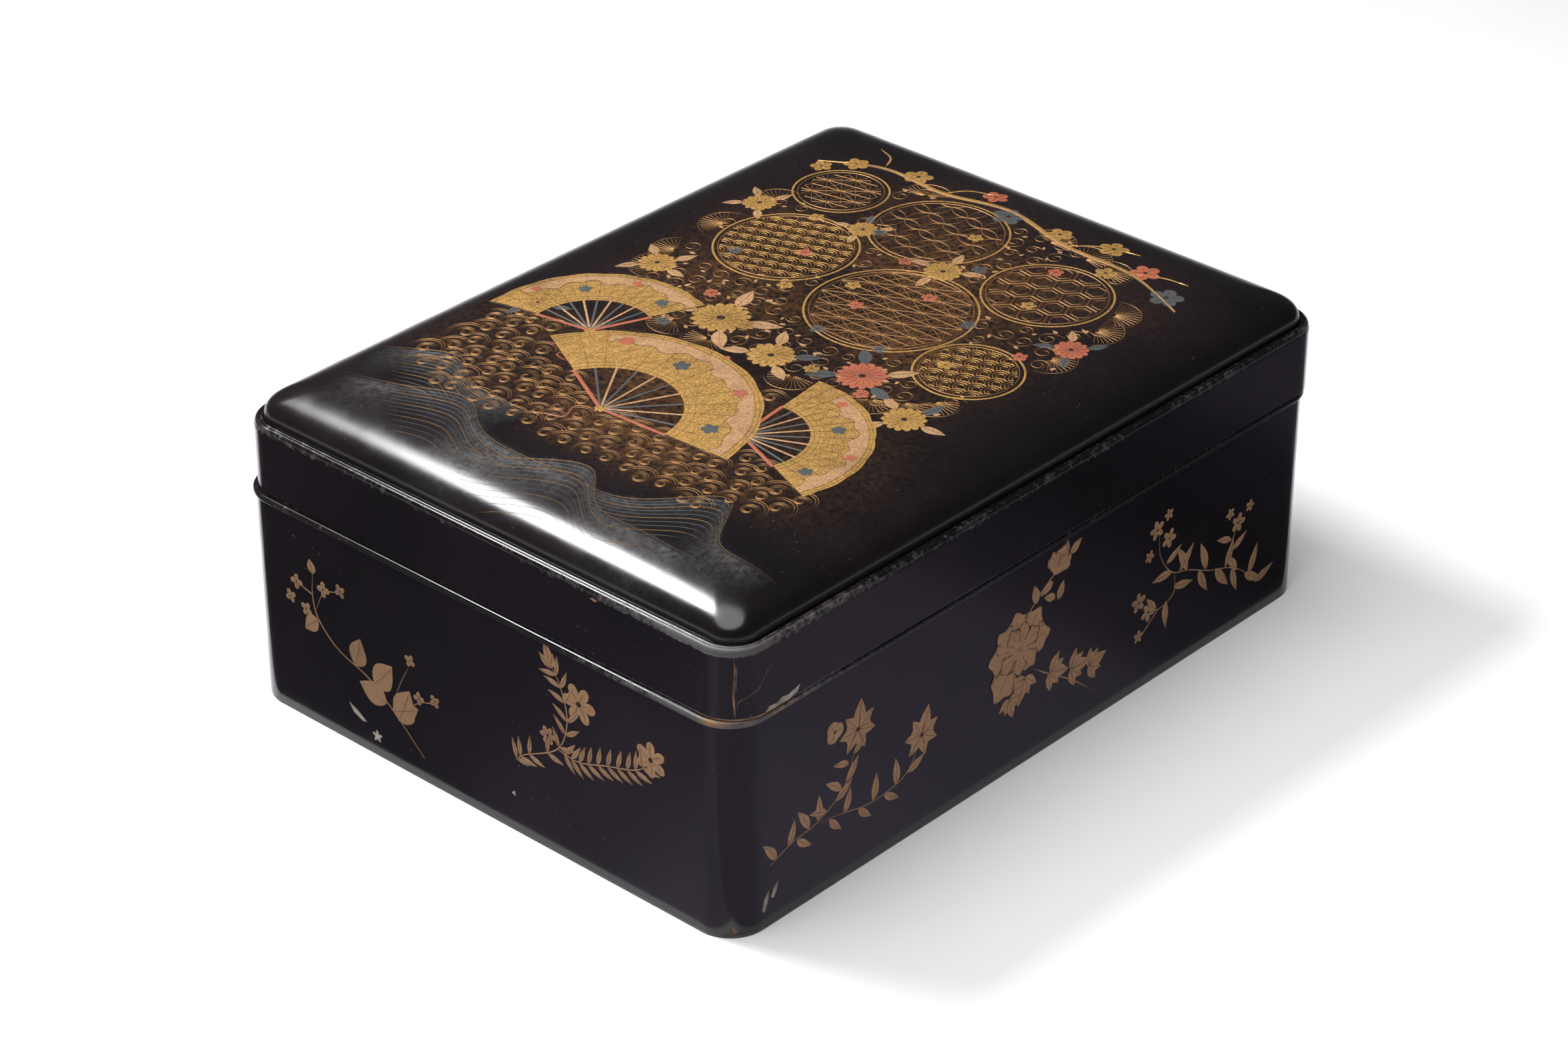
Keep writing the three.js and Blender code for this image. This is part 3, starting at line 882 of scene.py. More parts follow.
def wave_pattern(radius):
    """Overlapping scales: rows of half circles, each row half a step over."""
    step = 11.0
    angle = np.linspace(0, np.pi, 15)
    paths = []
    for row in range(int(-radius // (step / 2)), int(radius // (step / 2)) + 2):
        for column in range(int(-radius // step) - 1, int(radius // step) + 2):
            x = column * step + (row % 2) * step / 2
            for share in (0.5, 0.34, 0.18):
                paths.append(np.stack([x + step * share * np.cos(angle),
                                       row * step / 2 + step * share * np.sin(angle)], 1))
    return paths


def triangular_net(radius, step):
    """Points in rows, each row half a step over, far enough out to cover a circle."""
    reach = int(radius // step) + 2
    return [np.array([(column + (row % 2) / 2) * step, row * step * np.sqrt(3) / 2])
            for row in range(-reach, reach + 1) for column in range(-reach, reach + 1)]


def hemp_pattern(radius):
    """The hemp-leaf star: six rhombic leaves round the points of a triangular net."""
    step = 15.0
    t = np.linspace(0, 1, 5)[:, None]
    paths = []
    for at in triangular_net(radius, step):
        for k in range(6):
            a, b = np.radians(k * 60), np.radians(k * 60 + 30)
            tip = np.array([np.cos(a), np.sin(a)]) * step / 2
            hub = np.array([np.cos(b), np.sin(b)]) * step / np.sqrt(3)
            paths += [at + tip * t, at + hub * t, at + hub + (tip - hub) * t]
    return paths


def ring_pattern(radius):
    """Linked circles whose radius is a step, at every second point of a square net."""
    step = 10.0
    reach = int(radius // step) + 2
    angle = np.linspace(0, 2 * np.pi, 29)
    circle = np.stack([np.cos(angle), np.sin(angle)], 1)
    return [np.array([column, row]) * step + step * circle
            for row in range(-reach, reach + 1) for column in range(-reach, reach + 1)
            if (row + column) % 2 == 0]


def shell_pattern(radius):
    """Tortoiseshell: hexagons within hexagons, on a triangular net."""
    step = 14.0
    corner = np.radians(np.arange(7) * 60 + 30)
    t = np.linspace(0, 6, 31)
    paths = []
    for at in triangular_net(radius, step):
        for size in (0.56, 0.38):
            hexagon = np.stack([np.cos(corner), np.sin(corner)], 1) * step * size
            sides = [np.interp(t, np.arange(7), hexagon[:, axis]) for axis in (0, 1)]
            paths.append(at + np.stack(sides, 1))
    return paths


PATTERNS = {"waves": wave_pattern, "hemp": hemp_pattern, "rings": ring_pattern, "shell": shell_pattern}


def covered(x, y):
    """True where a fan or roundel already lies, so that scrolls keep off it."""
    hit = np.zeros(np.shape(x), bool)
    for cx, cy, r, _ in ROUNDELS:
        hit |= np.hypot(x - cx, y - cy) < r + 3
    for cx, cy, turn, spread, _, outer in FANS:
        angle = (np.degrees(np.arctan2(y - cy, x - cx)) - turn + 180) % 360 - 180
        hit |= (np.hypot(x - cx, y - cy) < outer + 3) & (np.abs(angle) < spread / 2 + 3)
    return hit


class DOCUMENTBOX_OT_picture(bpy.types.Operator):
    """Lays the maki-e picture on the lid: water, scrolls, fans, roundels and a plum bough"""
    bl_idname = "document_box.picture"
    bl_label = "Lid Picture"

    def execute(self, context):
        self.bright, self.fine, self.brown = Shell(), Shell(), Shell()
        self.red, self.grey, self.mist, self.ink = Shell(), Shell(), Shell(), Shell()
        self.water()
        self.scrolls()
        self.vines()
        self.pine_sprigs()
        for row in FANS:
            self.fan(*row)
        for row in ROUNDELS:
            self.roundel(*row)
        self.bough()
        self.blossoms()
        layers = (("picture_gold", self.bright, "gold powder"),
                  ("picture_fine_lines", self.fine, "fine gold line"),
                  ("picture_bronze", self.brown, "bronze powder"),
                  ("picture_coral", self.red, "coral lacquer"),
                  ("picture_slate", self.grey, "slate lacquer"),
                  ("picture_silver_lines", self.mist, "silver powder"),
                  ("picture_ink", self.ink, "brown ink"))
        for name, shell, finish in layers:
            shell.build(name, powder(finish), "lid", "black_lacquer", sharp=60)
        return {"FINISHED"}

    def ink_line(self, places, width=FINE_WIDTH, lift=INK_LIFT):
        """A dark line of even width on a motif, through places given as x and y arrays."""
        line(self.ink, on_dome, np.stack(places, 1), width, lift, 0.5, False)

    def water(self):
        """Nested lines under each crest, closer together where the hump is steep."""
        for k, (start, end, base, rise, place, width) in enumerate(WATER_CRESTS):
            x = np.linspace(start, end, WATER_POINTS)
            for step in range(WATER_LINES):
                drop = step * (1.7 + 0.05 * step)
                y = crest_height(x, base, rise * (1 - 0.045 * step), place + step * 1.1, width) - drop
                y = y + 0.6 * np.sin(x * 0.09 + k)
                reach = slice(step * 2, WATER_POINTS - step * 3)
                shell = self.mist if step % 3 else self.fine
                line(shell, on_dome, np.stack([x, y], 1)[reach], 0.42, 0.14, 0.5)

    def scrolls(self):
        """Cloud curls in staggered rows: nested spirals under a lobed hood, clear of the fans."""
        rng = np.random.default_rng(11)
        for row in range(10):
            for column in range(19):
                x = -118 + column * 12.5 + (row % 2) * 6 + rng.uniform(-2, 2)
                y = -150 + row * 10.5 + rng.uniform(-2, 2)
                size, flip = rng.uniform(4.4, 6.6), rng.choice([-1, 1])
                turn = rng.uniform(-25, 45)
                if covered(x, y) or field_depth(x, y, SCROLL_FIELD) > 1:
                    continue
                for share in (1.0, 0.8, 0.6):
                    curl = spiral(1.25, size * share, 0.5) * [flip, 1]
                    line(self.fine, on_dome, turned(curl, turn, (x, y)), FINE_WIDTH, GROUND_LIFT, 0.45)
                for share in (1.3, 1.55):
                    angle = np.linspace(-0.3, 2.9, 14)
                    hood = np.stack([np.cos(angle), np.sin(angle)], 1) * size * share * [flip, 1]
                    line(self.fine, on_dome, turned(hood, turn, (x, y)), FINE_WIDTH, GROUND_LIFT, 0.4)

    def vines(self):
        """Curling tendrils between the roundels, each a spiral on a short curved stalk."""
        rng = np.random.default_rng(23)
        for row in range(17):
            for column in range(17):
                x = -104 + column * 13 + (row % 2) * 6.5 + rng.uniform(-1.5, 1.5)
                y = -26 + row * 11.5 + rng.uniform(-1.5, 1.5)
                size, turn = rng.uniform(3.6, 5.2), rng.uniform(0, 360)
                if covered(x, y) or field_depth(x, y, VINE_FIELD) > 1:
                    continue
                curl = spiral(1.4, size, 0.5)
                stalk = curve([curl[0], (size * 0.9, -size * 0.8), (size * 0.1, -size * 1.7)], 8)
                path = turned(np.concatenate([stalk[:0:-1], curl]), turn, (x, y))
                line(self.fine, on_dome, path, FINE_WIDTH, GROUND_LIFT)
                foot = turned([(size * 0.95, -size * 1.0)], turn, (x, y))[0]
                bud = turned(leaf_shape(0.5), turn + 20, foot, size * 0.8)
                fill(self.brown, on_dome, bud, None, 0.2, 0.5, 1)

    def pine_sprigs(self):
        """Half-round tufts of pine needles all round the upper picture: fine rays under a bowed rim."""
        count, size = 30, 13.5
        middle_x, middle_y, half_x, half_y = TUFT_FIELD
        for k in range(count):
            a = 2 * np.pi * k / count
            x = middle_x + half_x * np.sign(np.cos(a)) * np.abs(np.cos(a)) ** 0.6
            y = middle_y + half_y * np.sign(np.sin(a)) * np.abs(np.sin(a)) ** 0.6
            if covered(x, y):
                continue
            turn = np.degrees(np.arctan2((y - middle_y) / half_y, (x - middle_x) / half_x))
            for needle in np.linspace(-78, 78, 15):
                t = np.linspace(0.12, 1, 5)
                ray = np.stack([t, 0 * t], 1) * size * (0.86 + 0.14 * np.cos(np.radians(needle)))
                ray = turned(ray, turn + needle, (x, y))
                line(self.fine, on_dome, ray, VEIN_WIDTH, GROUND_LIFT, taper=False)
            rim = np.radians(np.linspace(-82, 82, 20))
            bow = np.stack([np.cos(rim), np.sin(rim)], 1) * size * 1.04
            line(self.fine, on_dome, turned(bow, turn, (x, y)), 0.55, 0.16, 0.5)

    def fan(self, cx, cy, turn, spread, inner, outer):
        """An open fan: a pleated gold leaf between two radii, dark ribs, a red guard at each side."""
        middle = np.array([cx, cy])

        def at(radius, angle):
            """The place at a radius, at an angle from the middle rib."""
            a = np.radians(turn + angle)
            return cx + radius * np.cos(a), cy + radius * np.sin(a)

        start = inner + (outer - inner) * FAN_LEAF_START
        angle = np.linspace(-spread / 2, spread / 2, 64)
        a, r = np.meshgrid(angle, np.linspace(start, outer, 16), indexing="ij")
        scallop = 1 + 0.012 * np.abs(np.sin(np.radians(a) * 180 / (spread / FAN_PLEATS) / 2))
        sheet(self.bright, on_dome, *at(r * np.where(r > outer - 1, scallop, 1), a), 0.22)
        for pleat in np.linspace(-spread / 2, spread / 2, FAN_PLEATS + 1):
            self.ink_line(at(np.linspace(start, outer, 14), pleat))
        for share in (0.36, 0.42, 0.94, 0.98):
            self.ink_line(at(inner + (outer - inner) * share, np.linspace(-spread / 2, spread / 2, 60)))
        self.fan_waves(at, spread, inner, outer)
        self.fan_band(at, spread, inner, outer)
        for k, rib in enumerate(np.linspace(-spread / 2, spread / 2, FAN_RIBS)):
            guard = k in (0, FAN_RIBS - 1)
            px, py = at(np.linspace(2.5, inner + (outer - inner) * 0.34, 12), rib)
            shell = self.red if guard else (self.grey if k % 2 else self.brown)
            line(shell, on_dome, np.stack([px, py], 1), 2.6 if guard else 1.5, 0.3, 0.5, False)
        flower(self.bright, self.fine, on_dome, middle, 3.2, 6, turn, 0.7)
        cord = curve([(0, 0), (-9, -8), (-4, -18), (-13, -25), (-6, -33)], 12)
        line(self.red, on_dome, turned(cord, turn - 90, middle), 1.1, 0.3)

    def fan_waves(self, at, spread, inner, outer):
        """Scale pattern bent round the fan: its arcs are drawn in angle and radius."""
        step = spread / 12
        height = (outer - inner) * 0.085
        t = np.linspace(0, np.pi, 13)
        for row in range(5):
            for k in range(13):
                middle = -spread / 2 + (k + (row % 2) / 2) * step
                base = inner + (outer - inner) * (0.46 + 0.095 * row)
                for share in (0.48, 0.3):
                    pa = middle + step * share * np.cos(t)
                    if pa.max() > spread / 2 or pa.min() < -spread / 2:
                        continue
                    self.ink_line(at(base + height * 2 * share * np.sin(t), pa), 0.42, 0.34)

    def fan_band(self, at, spread, inner, outer):
        """A bronze cloud with a wavy edge over the fan's outer part, with blossoms on it."""
        a = np.linspace(-spread / 2 * 0.98, spread / 2 * 0.7, 60)
        wave = 0.78 + 0.045 * np.sin(a * 0.17) + 0.03 * np.sin(a * 0.43)
        low, high = inner + (outer - inner) * wave, inner + (outer - inner) * 0.93
        t = np.linspace(0, 1, 5)[None]
        x, y = at(low[:, None] * (1 - t) + high * t, a[:, None] + 0 * t)
        sheet(self.brown, on_dome, x, y, 0.3, 0.6)
        self.ink_line(at(low, a), 0.55, 0.42)
        for k, share in enumerate((-0.38, -0.16, 0.08, 0.3)):
            spot = at(inner + (outer - inner) * (0.84 if k % 2 else 0.62), spread * share)
            shell = (self.grey, self.red, self.grey, self.red)[k]
            blossom = turned(flower_shape(5, 0.35, 0.7), 30 * k, spot, (outer - inner) * 0.085)
            fill(shell, on_dome, blossom, spot, 0.5, 0.6, 1)

    def roundel(self, cx, cy, radius, pattern):
        """A double ring round one of the old patterns, cut off at the ring."""
        angle = np.linspace(0, 2 * np.pi, 97)
        circle = np.stack([np.cos(angle), np.sin(angle)], 1)
        line(self.bright, on_dome, circle * radius + [cx, cy], 1.5, 0.24, 0.5, False)
        line(self.fine, on_dome, circle * (radius - 2.6) + [cx, cy], 0.6, 0.2, 0.5, False)
        lines = self.bright if pattern == "waves" else self.fine
        tilt = cx * 0.7 + cy * 0.3
        for path in PATTERNS[pattern](radius):
            for run in inside_circle(turned(path, tilt, (cx, cy)), (cx, cy), radius - 3):
                line(lines, on_dome, run, FINE_WIDTH, 0.22, 0.42, False)

    def bough(self):
        """A plum bough across the top, with twigs and blossoms of gold, red and slate."""
        main = curve([(-118, 150), (-86, 166), (-44, 164), (-6, 172), (40, 160), (84, 158), (124, 142)], 14)
        line(self.bright, on_dome, main, 4.2, 0.3)
        line(self.brown, on_dome, main + [0.4, -1.0], 0.7, 0.42, 0.2)
        twigs = (((-86, 166), (-92, 178), (-104, 184)), ((-44, 164), (-36, 176), (-22, 182)),
                 ((40, 160), (54, 172), (74, 178)), ((84, 158), (98, 166), (112, 168)))
        for twig in twigs:
            line(self.bright, on_dome, curve(twig, 10), 1.6, 0.26)
        spots = ((-100, 160, 7), (-66, 170, 8), (-22, 180, 7), (-2, 166, 9), (30, 168, 7), (60, 174, 8),
                 (88, 164, 8), (112, 150, 9), (-112, 146, 6), (74, 150, 6))
        for k, (x, y, r) in enumerate(spots):
            shell = (self.bright, self.bright, self.red, self.grey)[k % 4]
            flower(shell, self.ink, on_dome, (x, y), r, 5, 36 * k, 0.6)

    def blossoms(self):
        """Chrysanthemums, plum blossoms and leaves that tie the fans and roundels together."""
        spots = ((-34, -14, 15, 16), (10, -26, 12, 14), (56, -12, 13, 16), (-98, 8, 10, 14),
                 (98, -30, 11, 14), (-112, -62, 9, 12), (14, 96, 10, 14), (-46, 104, 8, 12),
                 (112, 76, 9, 12), (-106, 92, 9, 12))
        for k, (x, y, r, petals) in enumerate(spots):
            for side in (-50, 20, 100, 190):
                tip = turned([(r * 0.9, 0)], side + 13 * k, (x, y))[0]
                shell = self.grey if (k + side) % 3 == 0 else self.brown
                leaf(shell, self.ink, on_dome, tip, side + 13 * k, r * 1.25, 0.42)
            shell = (self.bright, self.bright, self.red)[k % 3]
            flower(shell, self.ink, on_dome, (x, y), r, petals, 9 * k, 0.6, 0.22, 0.6)
        for k in range(26):
            angle = k * 2.4
            x, y = 6 + 104 * np.sqrt(k / 26) * np.cos(angle), 40 + 112 * np.sqrt(k / 26) * np.sin(angle)
            shell = (self.red, self.bright, self.grey)[k % 3]
            flower(shell, self.ink, on_dome, (x, y), 4.2, 5, 20 * k, 0.6)


# Sprays on the walls

class DOCUMENTBOX_OT_sprays(bpy.types.Operator):
    """Lays the flat bronze sprays on the front and right walls"""
    bl_idname = "document_box.sprays"
    bl_label = "Wall Sprays"

    # Places are millimetres along the wall, from its middle, and up. A leaf's row adds the angle
    # in degrees at which it points and its length, and a flower's row adds its radius.

    def execute(self, context):
        self.shapes, self.veins = Shell(), Shell()
        self.tone = 0.12
        self.begonia()
        self.tone = 0.3
        self.bellflower()
        self.tone = 0.5
        self.maple_vine()
        self.peony()
        self.star_vine()
        self.shapes.build("wall_sprays", powder("bronze powder"), "box", "black_lacquer", sharp=60)
        self.veins.build("wall_spray_veins", powder("brown ink"), "box", "black_lacquer", sharp=60)
        return {"FINISHED"}

    def stem(self, surface, points, width=0.8):
        """A raised line along a smooth path."""
        line(self.shapes, surface, curve(points, 12), width, GROUND_LIFT, self.tone)

    def leaves(self, surface, rows, width=0.4, bend=0.1, size=1.0):
        """One leaf for each row, its length times a common size."""
        for x, z, angle, length in rows:
            leaf(self.shapes, self.veins, surface, (x, z), angle, length * size, width, bend, self.tone)

    def flowers(self, surface, rows, petals=5, depth=0.4, point=0.7):
        """One flower for each row, each turned further than the last."""
        for k, (x, z, radius) in enumerate(rows):
            flower(self.shapes, self.veins, surface, (x, z), radius, petals, 31 * k, self.tone, depth, point)

    def begonia(self):
        """Front wall, left: a leaning stem, small flowers above and broad leaves below."""
        s = on_front
        self.stem(s, [(-112, 86), (-113, 74), (-110, 62), (-97, 50), (-75, 42), (-56, 28), (-39, 13)], 1.1)
        self.stem(s, [(-113, 74), (-124, 77)], 0.5)
        self.stem(s, [(-111, 66), (-105, 78), (-94, 83)], 0.5)
        self.stem(s, [(-60, 34), (-54, 48), (-46, 63)], 0.5)
        self.stem(s, [(-50, 36), (-40, 44), (-29, 48)], 0.5)
        self.flowers(s, ((-124, 77, 4.2), (-129, 67, 3.8), (-118, 64, 4.0), (-105, 80, 4.4), (-93, 84, 3.8),
                         (-46, 65, 3.6), (-41, 46, 3.6), (-30, 49, 3.6)), 4, 0.6, 0.9)
        self.leaves(s, ((-112, 86, 96, 8), (-110, 61, 215, 13), (-85, 46, 68, 17), (-72, 41, 42, 20),
                        (-64, 33, 158, 19), (-60, 31, 18, 20), (-56, 27, 60, 22)), 0.72, 0.12)

    def bellflower(self):
        """Front wall, right: a fork of stems with paired narrow leaves and open flowers."""
        s = on_front
        upper = curve([(23, 40), (30, 46), (52, 59), (59, 77), (55, 95), (49, 104)], 12)
        lower = curve([(52, 59), (66, 58), (84, 64), (102, 70), (112, 78)], 12)
        for path in (upper, lower):
            line(self.shapes, s, path, 0.8, GROUND_LIFT)
            for k in np.linspace(4, len(path) - 8, 10).astype(int):
                along = path[k + 1] - path[k]
                heading = np.degrees(np.arctan2(along[1], along[0]))
                for side in (52, -48):
                    leaf(self.shapes, self.veins, s, path[k], heading + side, 11.0, 0.25, 0.1, self.tone)
        self.leaves(s, ((49, 104, 100, 12), (49, 102, 135, 9), (49, 102, 70, 9)), 0.45)
        self.flowers(s, ((67, 90, 10.5), (112, 80, 9.5), (46, 64, 5)), 6, 0.5, 0.8)

    def maple_vine(self):
        """Right wall, near end: a rising stem with lens-shaped leaves and two pointed flowers."""
        s = on_right
        self.stem(s, [(-190, 33), (-175, 38), (-160, 40), (-146, 46), (-138, 54), (-131, 74)], 0.7)
        self.stem(s, [(-160, 40), (-142, 37), (-125, 33), (-110, 33), (-96, 37), (-87, 50)], 0.7)
        self.leaves(s, ((-186, 34, 115, 13), (-178, 37, 60, 12), (-172, 38, -50, 11), (-164, 40, 110, 13),
                        (-158, 41, 75, 12), (-152, 43, 150, 11), (-146, 46, 20, 12), (-142, 50, 130, 12),
                        (-139, 53, 40, 12), (-150, 38, -60, 11), (-140, 36, 60, 12), (-130, 34, -55, 11),
                        (-120, 33, 70, 13), (-112, 33, -45, 11), (-104, 34, 80, 13), (-96, 37, 10, 12),
                        (-137, 62, 150, 10), (-134, 66, 30, 10)), 0.34, 0.2, 1.12)
        for x, z, size, turn in ((-131, 78, 14.0, 80), (-86, 53, 13.5, 70)):
            self.leaves(s, [(x, z, turn + k, size * (1.15 if abs(k) < 50 else 0.9))
                            for k in (-150, -100, -50, 0, 50, 100, 150)], 0.5, 0.05)
            self.flowers(s, ((x, z, size * 0.62),), 5, 0.3, 0.8)
        self.flowers(s, ((-147, 84, 6),), 3, 0.25, 0.8)

    def peony(self):
        """Right wall, middle: one great many-petalled flower, a bud above and lobed leaves."""
        s = on_right
        self.stem(s, [(-10, 84), (0, 92), (11, 99), (22, 105)], 0.9)
        self.stem(s, [(-6, 52), (8, 42), (26, 30), (43, 16)], 0.9)
        outer = ((98, 21), (48, 22), (2, 22), (-48, 17), (-128, 27), (176, 22), (138, 21))
        inner = ((74, 14), (24, 15), (-88, 14), (-152, 15), (118, 14))
        for k, (angle, length) in enumerate(outer + inner):
            petal(self.shapes, self.veins, s, (-16, 67), angle, length, 0.16 + 0.03 * k)
        self.flowers(s, ((-16, 67, 5),), 8, 0.3, 0.6)
        for k, (angle, length) in enumerate(((62, 15), (28, 13), (98, 13))):
            petal(self.shapes, self.veins, s, (9, 97), angle, length, 0.2 + 0.04 * k)
        self.leaves(s, ((16, 104, 70, 9), (20, 104, 25, 10), (8, 94, 200, 10), (-4, 87, 95, 11),
                        (12, 82, 60, 10), (10, 84, 150, 9)), 0.5)
        for x, z, turn, size in ((8, 43, -20, 15), (24, 37, -5, 15), (38, 32, 10, 14), (-11, 49, -110, 15),
                                 (-22, 42, -80, 12)):
            lobes = [(x, z, turn + k, size * (1.0 if k == 0 else 0.75)) for k in (-70, -35, 0, 35, 70)]
            self.leaves(s, lobes, 0.5, 0.05)

    def star_vine(self):
        """Right wall, far end: a vine with small star flowers and narrow pointed leaves."""
        s = on_right
        self.stem(s, [(174, 18), (164, 29), (150, 38), (133, 44), (116, 52), (102, 57), (92, 70),
                      (90, 84)], 0.7)
        self.stem(s, [(150, 38), (150, 50), (154, 60)], 0.6)
        self.stem(s, [(104, 56), (104, 44), (92, 40), (80, 46)], 0.6)
        self.stem(s, [(92, 40), (80, 31)], 0.5)
        self.flowers(s, ((155, 62, 5.5), (88, 87, 5.5), (98, 78, 5.5), (76, 51, 5.5), (84, 42, 5.5),
                         (77, 31, 3.6), (148, 70, 3.4), (164, 68, 3.4), (97, 92, 3.4), (83, 74, 3.6)),
                     5, 0.6, 1.0)
        self.leaves(s, ((172, 20, 10, 12), (166, 27, 60, 13), (163, 29, -40, 13), (156, 34, 120, 12),
                        (152, 37, -80, 12), (146, 40, 60, 12), (138, 43, -60, 14), (130, 46, 100, 14),
                        (124, 48, -70, 13), (114, 53, 110, 14), (108, 55, 40, 12), (102, 57, 170, 12),
                        (97, 64, 20, 10), (104, 48, -20, 12), (98, 42, -95, 12), (90, 40, 120, 10),
                        (151, 48, 20, 10), (150, 54, 150, 10)), 0.3, 0.14, 1.3)


# Wear and damage

CHIP_LIFT = 0.1


class DOCUMENTBOX_OT_damage(bpy.types.Operator):
    """Adds the open mitre, the chips and the rubbed places"""
    bl_idname = "document_box.damage"
    bl_label = "Damage"

    def execute(self, context):
        s = finish_settings()
        wood = material("bare wood", lambda: plain_chip_material(
            "bare wood", s.copper_colour, (0.07, 0.03, 0.018)))
        pale = material("bare ground", lambda: plain_chip_material(
            "bare ground", (0.33, 0.29, 0.24), (0.14, 0.11, 0.09)))
        lid_wood, lid_pale, box_wood, box_pale = Shell(), Shell(), Shell(), Shell()
        self.lid_corner(lid_wood, lid_pale)
        self.box_chips(box_pale)
        foot = [(-9, 1.2), (-4, 3.0), (0, 6.5), (3, 3.6), (9, 2.2), (13, 1.2)]
        fill(box_wood, round_wall, foot, (1, 2.4), 0.06, 0.5, 1)
        lid_wood.build("lid_corner_crack", wood, "lid", "worn_lacquer")
        lid_pale.build("lid_chips", pale, "lid", "worn_lacquer")
        box_wood.build("box_foot_wear", wood, "box", "worn_lacquer")
        box_pale.build("box_chips", pale, "box", "worn_lacquer")
        return {"FINISHED"}

    def lid_corner(self, wood, pale):
        """The wandering crack along the near mitre, a lifted edge, a flake, a nick and a rubbed foot."""
        def lid_wall(s, z, lift):
            """A point of the lid's walls, as in round_wall."""
            return round_wall(s, z, lift, True)

        z = np.linspace(LID_BOTTOM + 0.8, LEDGE - 3.0, 46)
        wander = 0.5 * smooth_noise(21, z * 0.35) + 0.25 * smooth_noise(22, z * 1.3)
        line(wood, lid_wall, np.stack([wander, z], 1), size_settings().crack_width / MM, 0.1)
        line(pale, lid_wall, np.stack([wander + 0.9, z], 1)[18:40], 0.35, 0.16)
        lifted = curve([(2.0, 121), (1.6, 127), (7, 130), (12, 133), (16, 139), (22, 142)], 8)
        line(wood, lid_wall, lifted, 0.55, 0.12)
        flake = [(15, 118.0), (18, 120.6), (22, 119.6), (26, 121.4), (31, 120.6), (38, 122.6), (36, 119.4),
                 (30, 118.0)]
        fill(pale, lid_wall, flake, (25, 119.6), 0.12, 0.5, 1)
        nick = [(-84, 149.8), (-82, 150.5), (-79, 150.1), (-81, 148.8)]
        fill(wood, lid_wall, nick, None, 0.12, 0.5, 1)
        along = np.linspace(-20, 26, 50)
        rubbed = np.stack([along, LID_BOTTOM + 0.5 + 0.2 * smooth_noise(5, along)], 1)
        line(wood, lid_wall, rubbed, 1.1, 0.14)

    def box_chips(self, pale):
        """Two slivers near the right wall's near end, and a sliver and two star chips in front."""
        sliver = np.array([(-192, 10), (-190, 17), (-187, 20), (-188, 14), (-190, 9)])
        for stretch, shift in (((1, 1), (-3.5, 0)), ((1, 0.7), (2.5, 8))):
            fill(pale, on_right, sliver * stretch + shift, None, CHIP_LIFT, 0.5, 1)
        low_sliver = [(-91, 22.5), (-85, 20), (-79, 16), (-82, 15.5), (-88, 18)]
        fill(pale, on_front, low_sliver, None, CHIP_LIFT, 0.5, 1)
        for place, size, points, depth, turn in (((-72, 11), 3.4, 5, 0.6, 20), ((22, 21), 1.4, 3, 0.5, 70)):
            star = turned(flower_shape(points, depth, 1.6), turn, place, size)
            fill(pale, on_front, star, place, CHIP_LIFT, 0.5, 1)


# Stage

# Glowing cards seen only in reflections: painted reflections that stand for what the front and right walls
# mirror. Places in millimetres along X or Y, and brightness
FRONT_PAINTED_REFLECTION = ((-240, 0.06), (-60, 0.1), (40, 0.2), (130, 0.4), (200, 0.55))
RIGHT_PAINTED_REFLECTION = ((-240, 0.30), (-120, 0.32), (-20, 0.24), (60, 0.22), (130, 0.09), (220, 0.03),
              (300, 0.05), (360, 0.14))
# Violet tint of the painted reflections in the walls
PAINTED_REFLECTION_TINT = (1.0, 0.86, 1.16)
CARD_X = 0.166
CARD_Y = -0.219
CARD_Z = 0.0004
CARD_REACH = 0.8
FLOOR_Z = -0.0004
FLOOR_REACH = 4.0


def painted_reflection_card(name, axis, stops):
    """A glowing card seen only in reflections, a painted reflection whose violet-tinted grey runs along X or
    Y through the stops.
    """
    n = Nodes(name)
    place = n.add("ShaderNodeSeparateXYZ", {"Vector": n.place}).outputs[axis]
    share = n.span(place, stops[0][0] * MM, stops[-1][0] * MM)
    ramp = n.add("ShaderNodeValToRGB", {"Fac": share})
    ramp.color_ramp.interpolation = "EASE"
    whole = stops[-1][0] - stops[0][0]
    elements = ramp.color_ramp.elements
    for k, (at, grey) in enumerate(stops):
        spot = (at - stops[0][0]) / whole
        element = elements[0] if k == 0 else elements[-1] if k == len(stops) - 1 else elements.new(spot)
        element.position, element.color = spot, tuple(grey * tint for tint in PAINTED_REFLECTION_TINT) + (1,)
    # Black card glowing with the graded grey: this glow is the painted reflection
    n.set(Base_Color=(0, 0, 0, 1), Roughness=1.0, Specular_IOR_Level=0.0)
    n.set(Emission_Color=ramp.outputs[0], Emission_Strength=1.0)
    return n.material


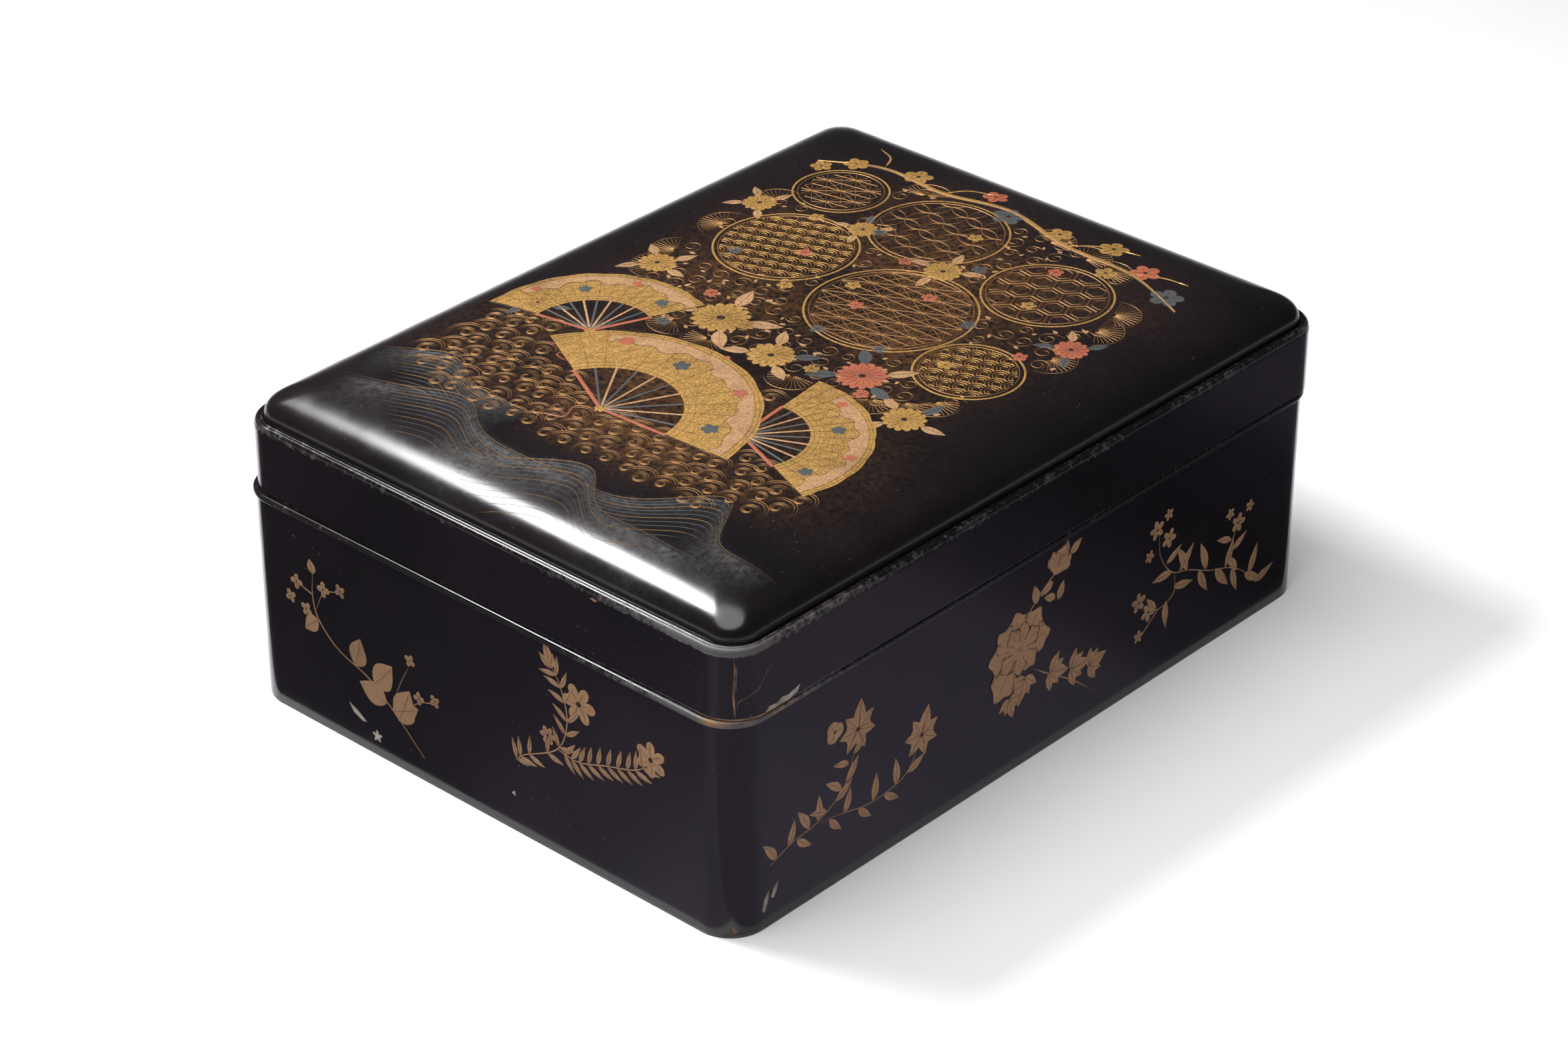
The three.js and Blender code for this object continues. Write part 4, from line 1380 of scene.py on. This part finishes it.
class DOCUMENTBOX_OT_studio(bpy.types.Operator):
    """Sets the pale floor, two glowing cards that paint reflections into the walls, the soft light and the
    camera
    """
    bl_idname = "document_box.studio"
    bl_label = "Studio"

    def execute(self, context):
        s = context.scene.document_box_studio
        n = Nodes("pale floor")
        pale = n.mix(n.span(n.noise(5, 3), 0.3, 0.7), (0.86, 0.86, 0.87, 1), (0.9, 0.9, 0.9, 1))
        n.set(Base_Color=pale, Roughness=0.8)
        self.plane("floor", (-FLOOR_REACH, -FLOOR_REACH), (FLOOR_REACH, FLOOR_REACH), FLOOR_Z, n.material)
        front = painted_reflection_card("front tones", "X", FRONT_PAINTED_REFLECTION)
        right = painted_reflection_card("right tones", "Y", RIGHT_PAINTED_REFLECTION)
        near, far = (-CARD_REACH, -CARD_REACH), (CARD_REACH, CARD_REACH)
        # The cards glow but are hidden from the camera, diffuse light and shadows: they only paint
        # reflections into the front and right walls
        for card in (self.plane("front_reflector", near, (CARD_X, CARD_Y), CARD_Z, front),
                     self.plane("right_reflector", (CARD_X, near[1]), far, CARD_Z, right)):
            card.visible_camera = card.visible_diffuse = card.visible_shadow = False
            card.visible_transmission = False
        self.softbox("key_softbox", (-0.80, -0.34, 1.35), (0.03, -0.18, 0.16), 0.66, 0.36, s.key_power)
        self.softbox("key_tail", (-1.10, -0.34, 1.25), (-0.05, -0.18, 0.16), 0.40, 0.50, s.key_power * 0.05)
        self.softbox("overhead_fill", (0.15, -0.7, 2.7), (0.1, 0.0, 0.0), 3.2, 3.2, s.fill_power)
        world = bpy.data.worlds.new("studio")
        world.use_nodes = True
        sky = world.node_tree.nodes["Background"]
        sky.inputs["Color"].default_value = (0.93, 0.95, 1.0, 1)
        sky.inputs["Strength"].default_value = 0.05
        context.scene.world = world
        context.scene.view_settings.view_transform = "Standard"
        self.camera(context, s)
        return {"FINISHED"}

    def plane(self, name, low, high, z, finish):
        """A level rectangle between two corners, in metres."""
        mesh = bpy.data.meshes.new(name)
        corners = [(low[0], low[1], z), (high[0], low[1], z), (high[0], high[1], z), (low[0], high[1], z)]
        mesh.from_pydata(corners, [], [(0, 1, 2, 3)])
        mesh.materials.append(finish)
        piece = bpy.data.objects.new(name, mesh)
        bpy.context.scene.collection.objects.link(piece)
        return piece

    def softbox(self, name, place, target, width, height, power):
        """An elliptic area light at a place, turned to face a target."""
        light = bpy.data.lights.new(name, "AREA")
        light.shape, light.size, light.size_y, light.energy = "ELLIPSE", width, height, power
        lamp = bpy.data.objects.new(name, light)
        lamp.location = place
        lamp.rotation_euler = (Vector(target) - Vector(place)).to_track_quat("-Z", "Y").to_euler()
        bpy.context.scene.collection.objects.link(lamp)

    def camera(self, context, s):
        """The camera from its place, turn and tilt."""
        data = bpy.data.cameras.new("camera")
        data.lens, data.sensor_width, data.sensor_fit = s.lens, 36.0, "HORIZONTAL"
        data.clip_start, data.clip_end = 0.05, 50.0
        camera = bpy.data.objects.new("camera", data)
        camera.location = s.camera_place
        camera.rotation_euler = (np.pi / 2 - s.camera_tilt, 0.0, s.camera_turn)
        context.scene.collection.objects.link(camera)
        context.scene.camera = camera


class DOCUMENTBOX_PT_panel(bpy.types.Panel):
    """Lists the document box's settings and steps"""
    bl_idname = "DOCUMENTBOX_PT_panel"
    bl_label = "Document Box"
    bl_space_type = "VIEW_3D"
    bl_region_type = "UI"
    bl_category = "Document Box"

    def draw(self, context):
        for step in STEPS:
            self.layout.operator(step.bl_idname)
        for settings in (size_settings(), finish_settings(), context.scene.document_box_studio):
            box = self.layout.box()
            for key in settings.bl_rna.properties.keys():
                if key not in ("rna_type", "name"):
                    box.prop(settings, key)


STEPS = (DOCUMENTBOX_OT_box, DOCUMENTBOX_OT_lid, DOCUMENTBOX_OT_picture, DOCUMENTBOX_OT_sprays,
         DOCUMENTBOX_OT_damage, DOCUMENTBOX_OT_studio)
SETTINGS = {"document_box_sizes": DocumentBoxSizes, "document_box_finish": DocumentBoxFinish,
            "document_box_studio": DocumentBoxStudio}
CLASSES = tuple(SETTINGS.values()) + STEPS + (DOCUMENTBOX_PT_panel,)


def register():
    """Registers the classes and gives the scene its settings."""
    for cls in CLASSES:
        bpy.utils.register_class(cls)
    for name, group in SETTINGS.items():
        setattr(bpy.types.Scene, name, bpy.props.PointerProperty(type=group))


def unregister():
    """Undoes register, in reverse."""
    for name in SETTINGS:
        delattr(bpy.types.Scene, name)
    for cls in reversed(CLASSES):
        bpy.utils.unregister_class(cls)


def main():
    """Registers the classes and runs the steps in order."""
    register()
    bpy.ops.document_box.box()
    bpy.ops.document_box.lid()
    bpy.ops.document_box.picture()
    bpy.ops.document_box.sprays()
    bpy.ops.document_box.damage()
    bpy.ops.document_box.studio()
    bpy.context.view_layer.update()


if __name__ == "__main__":
    main()
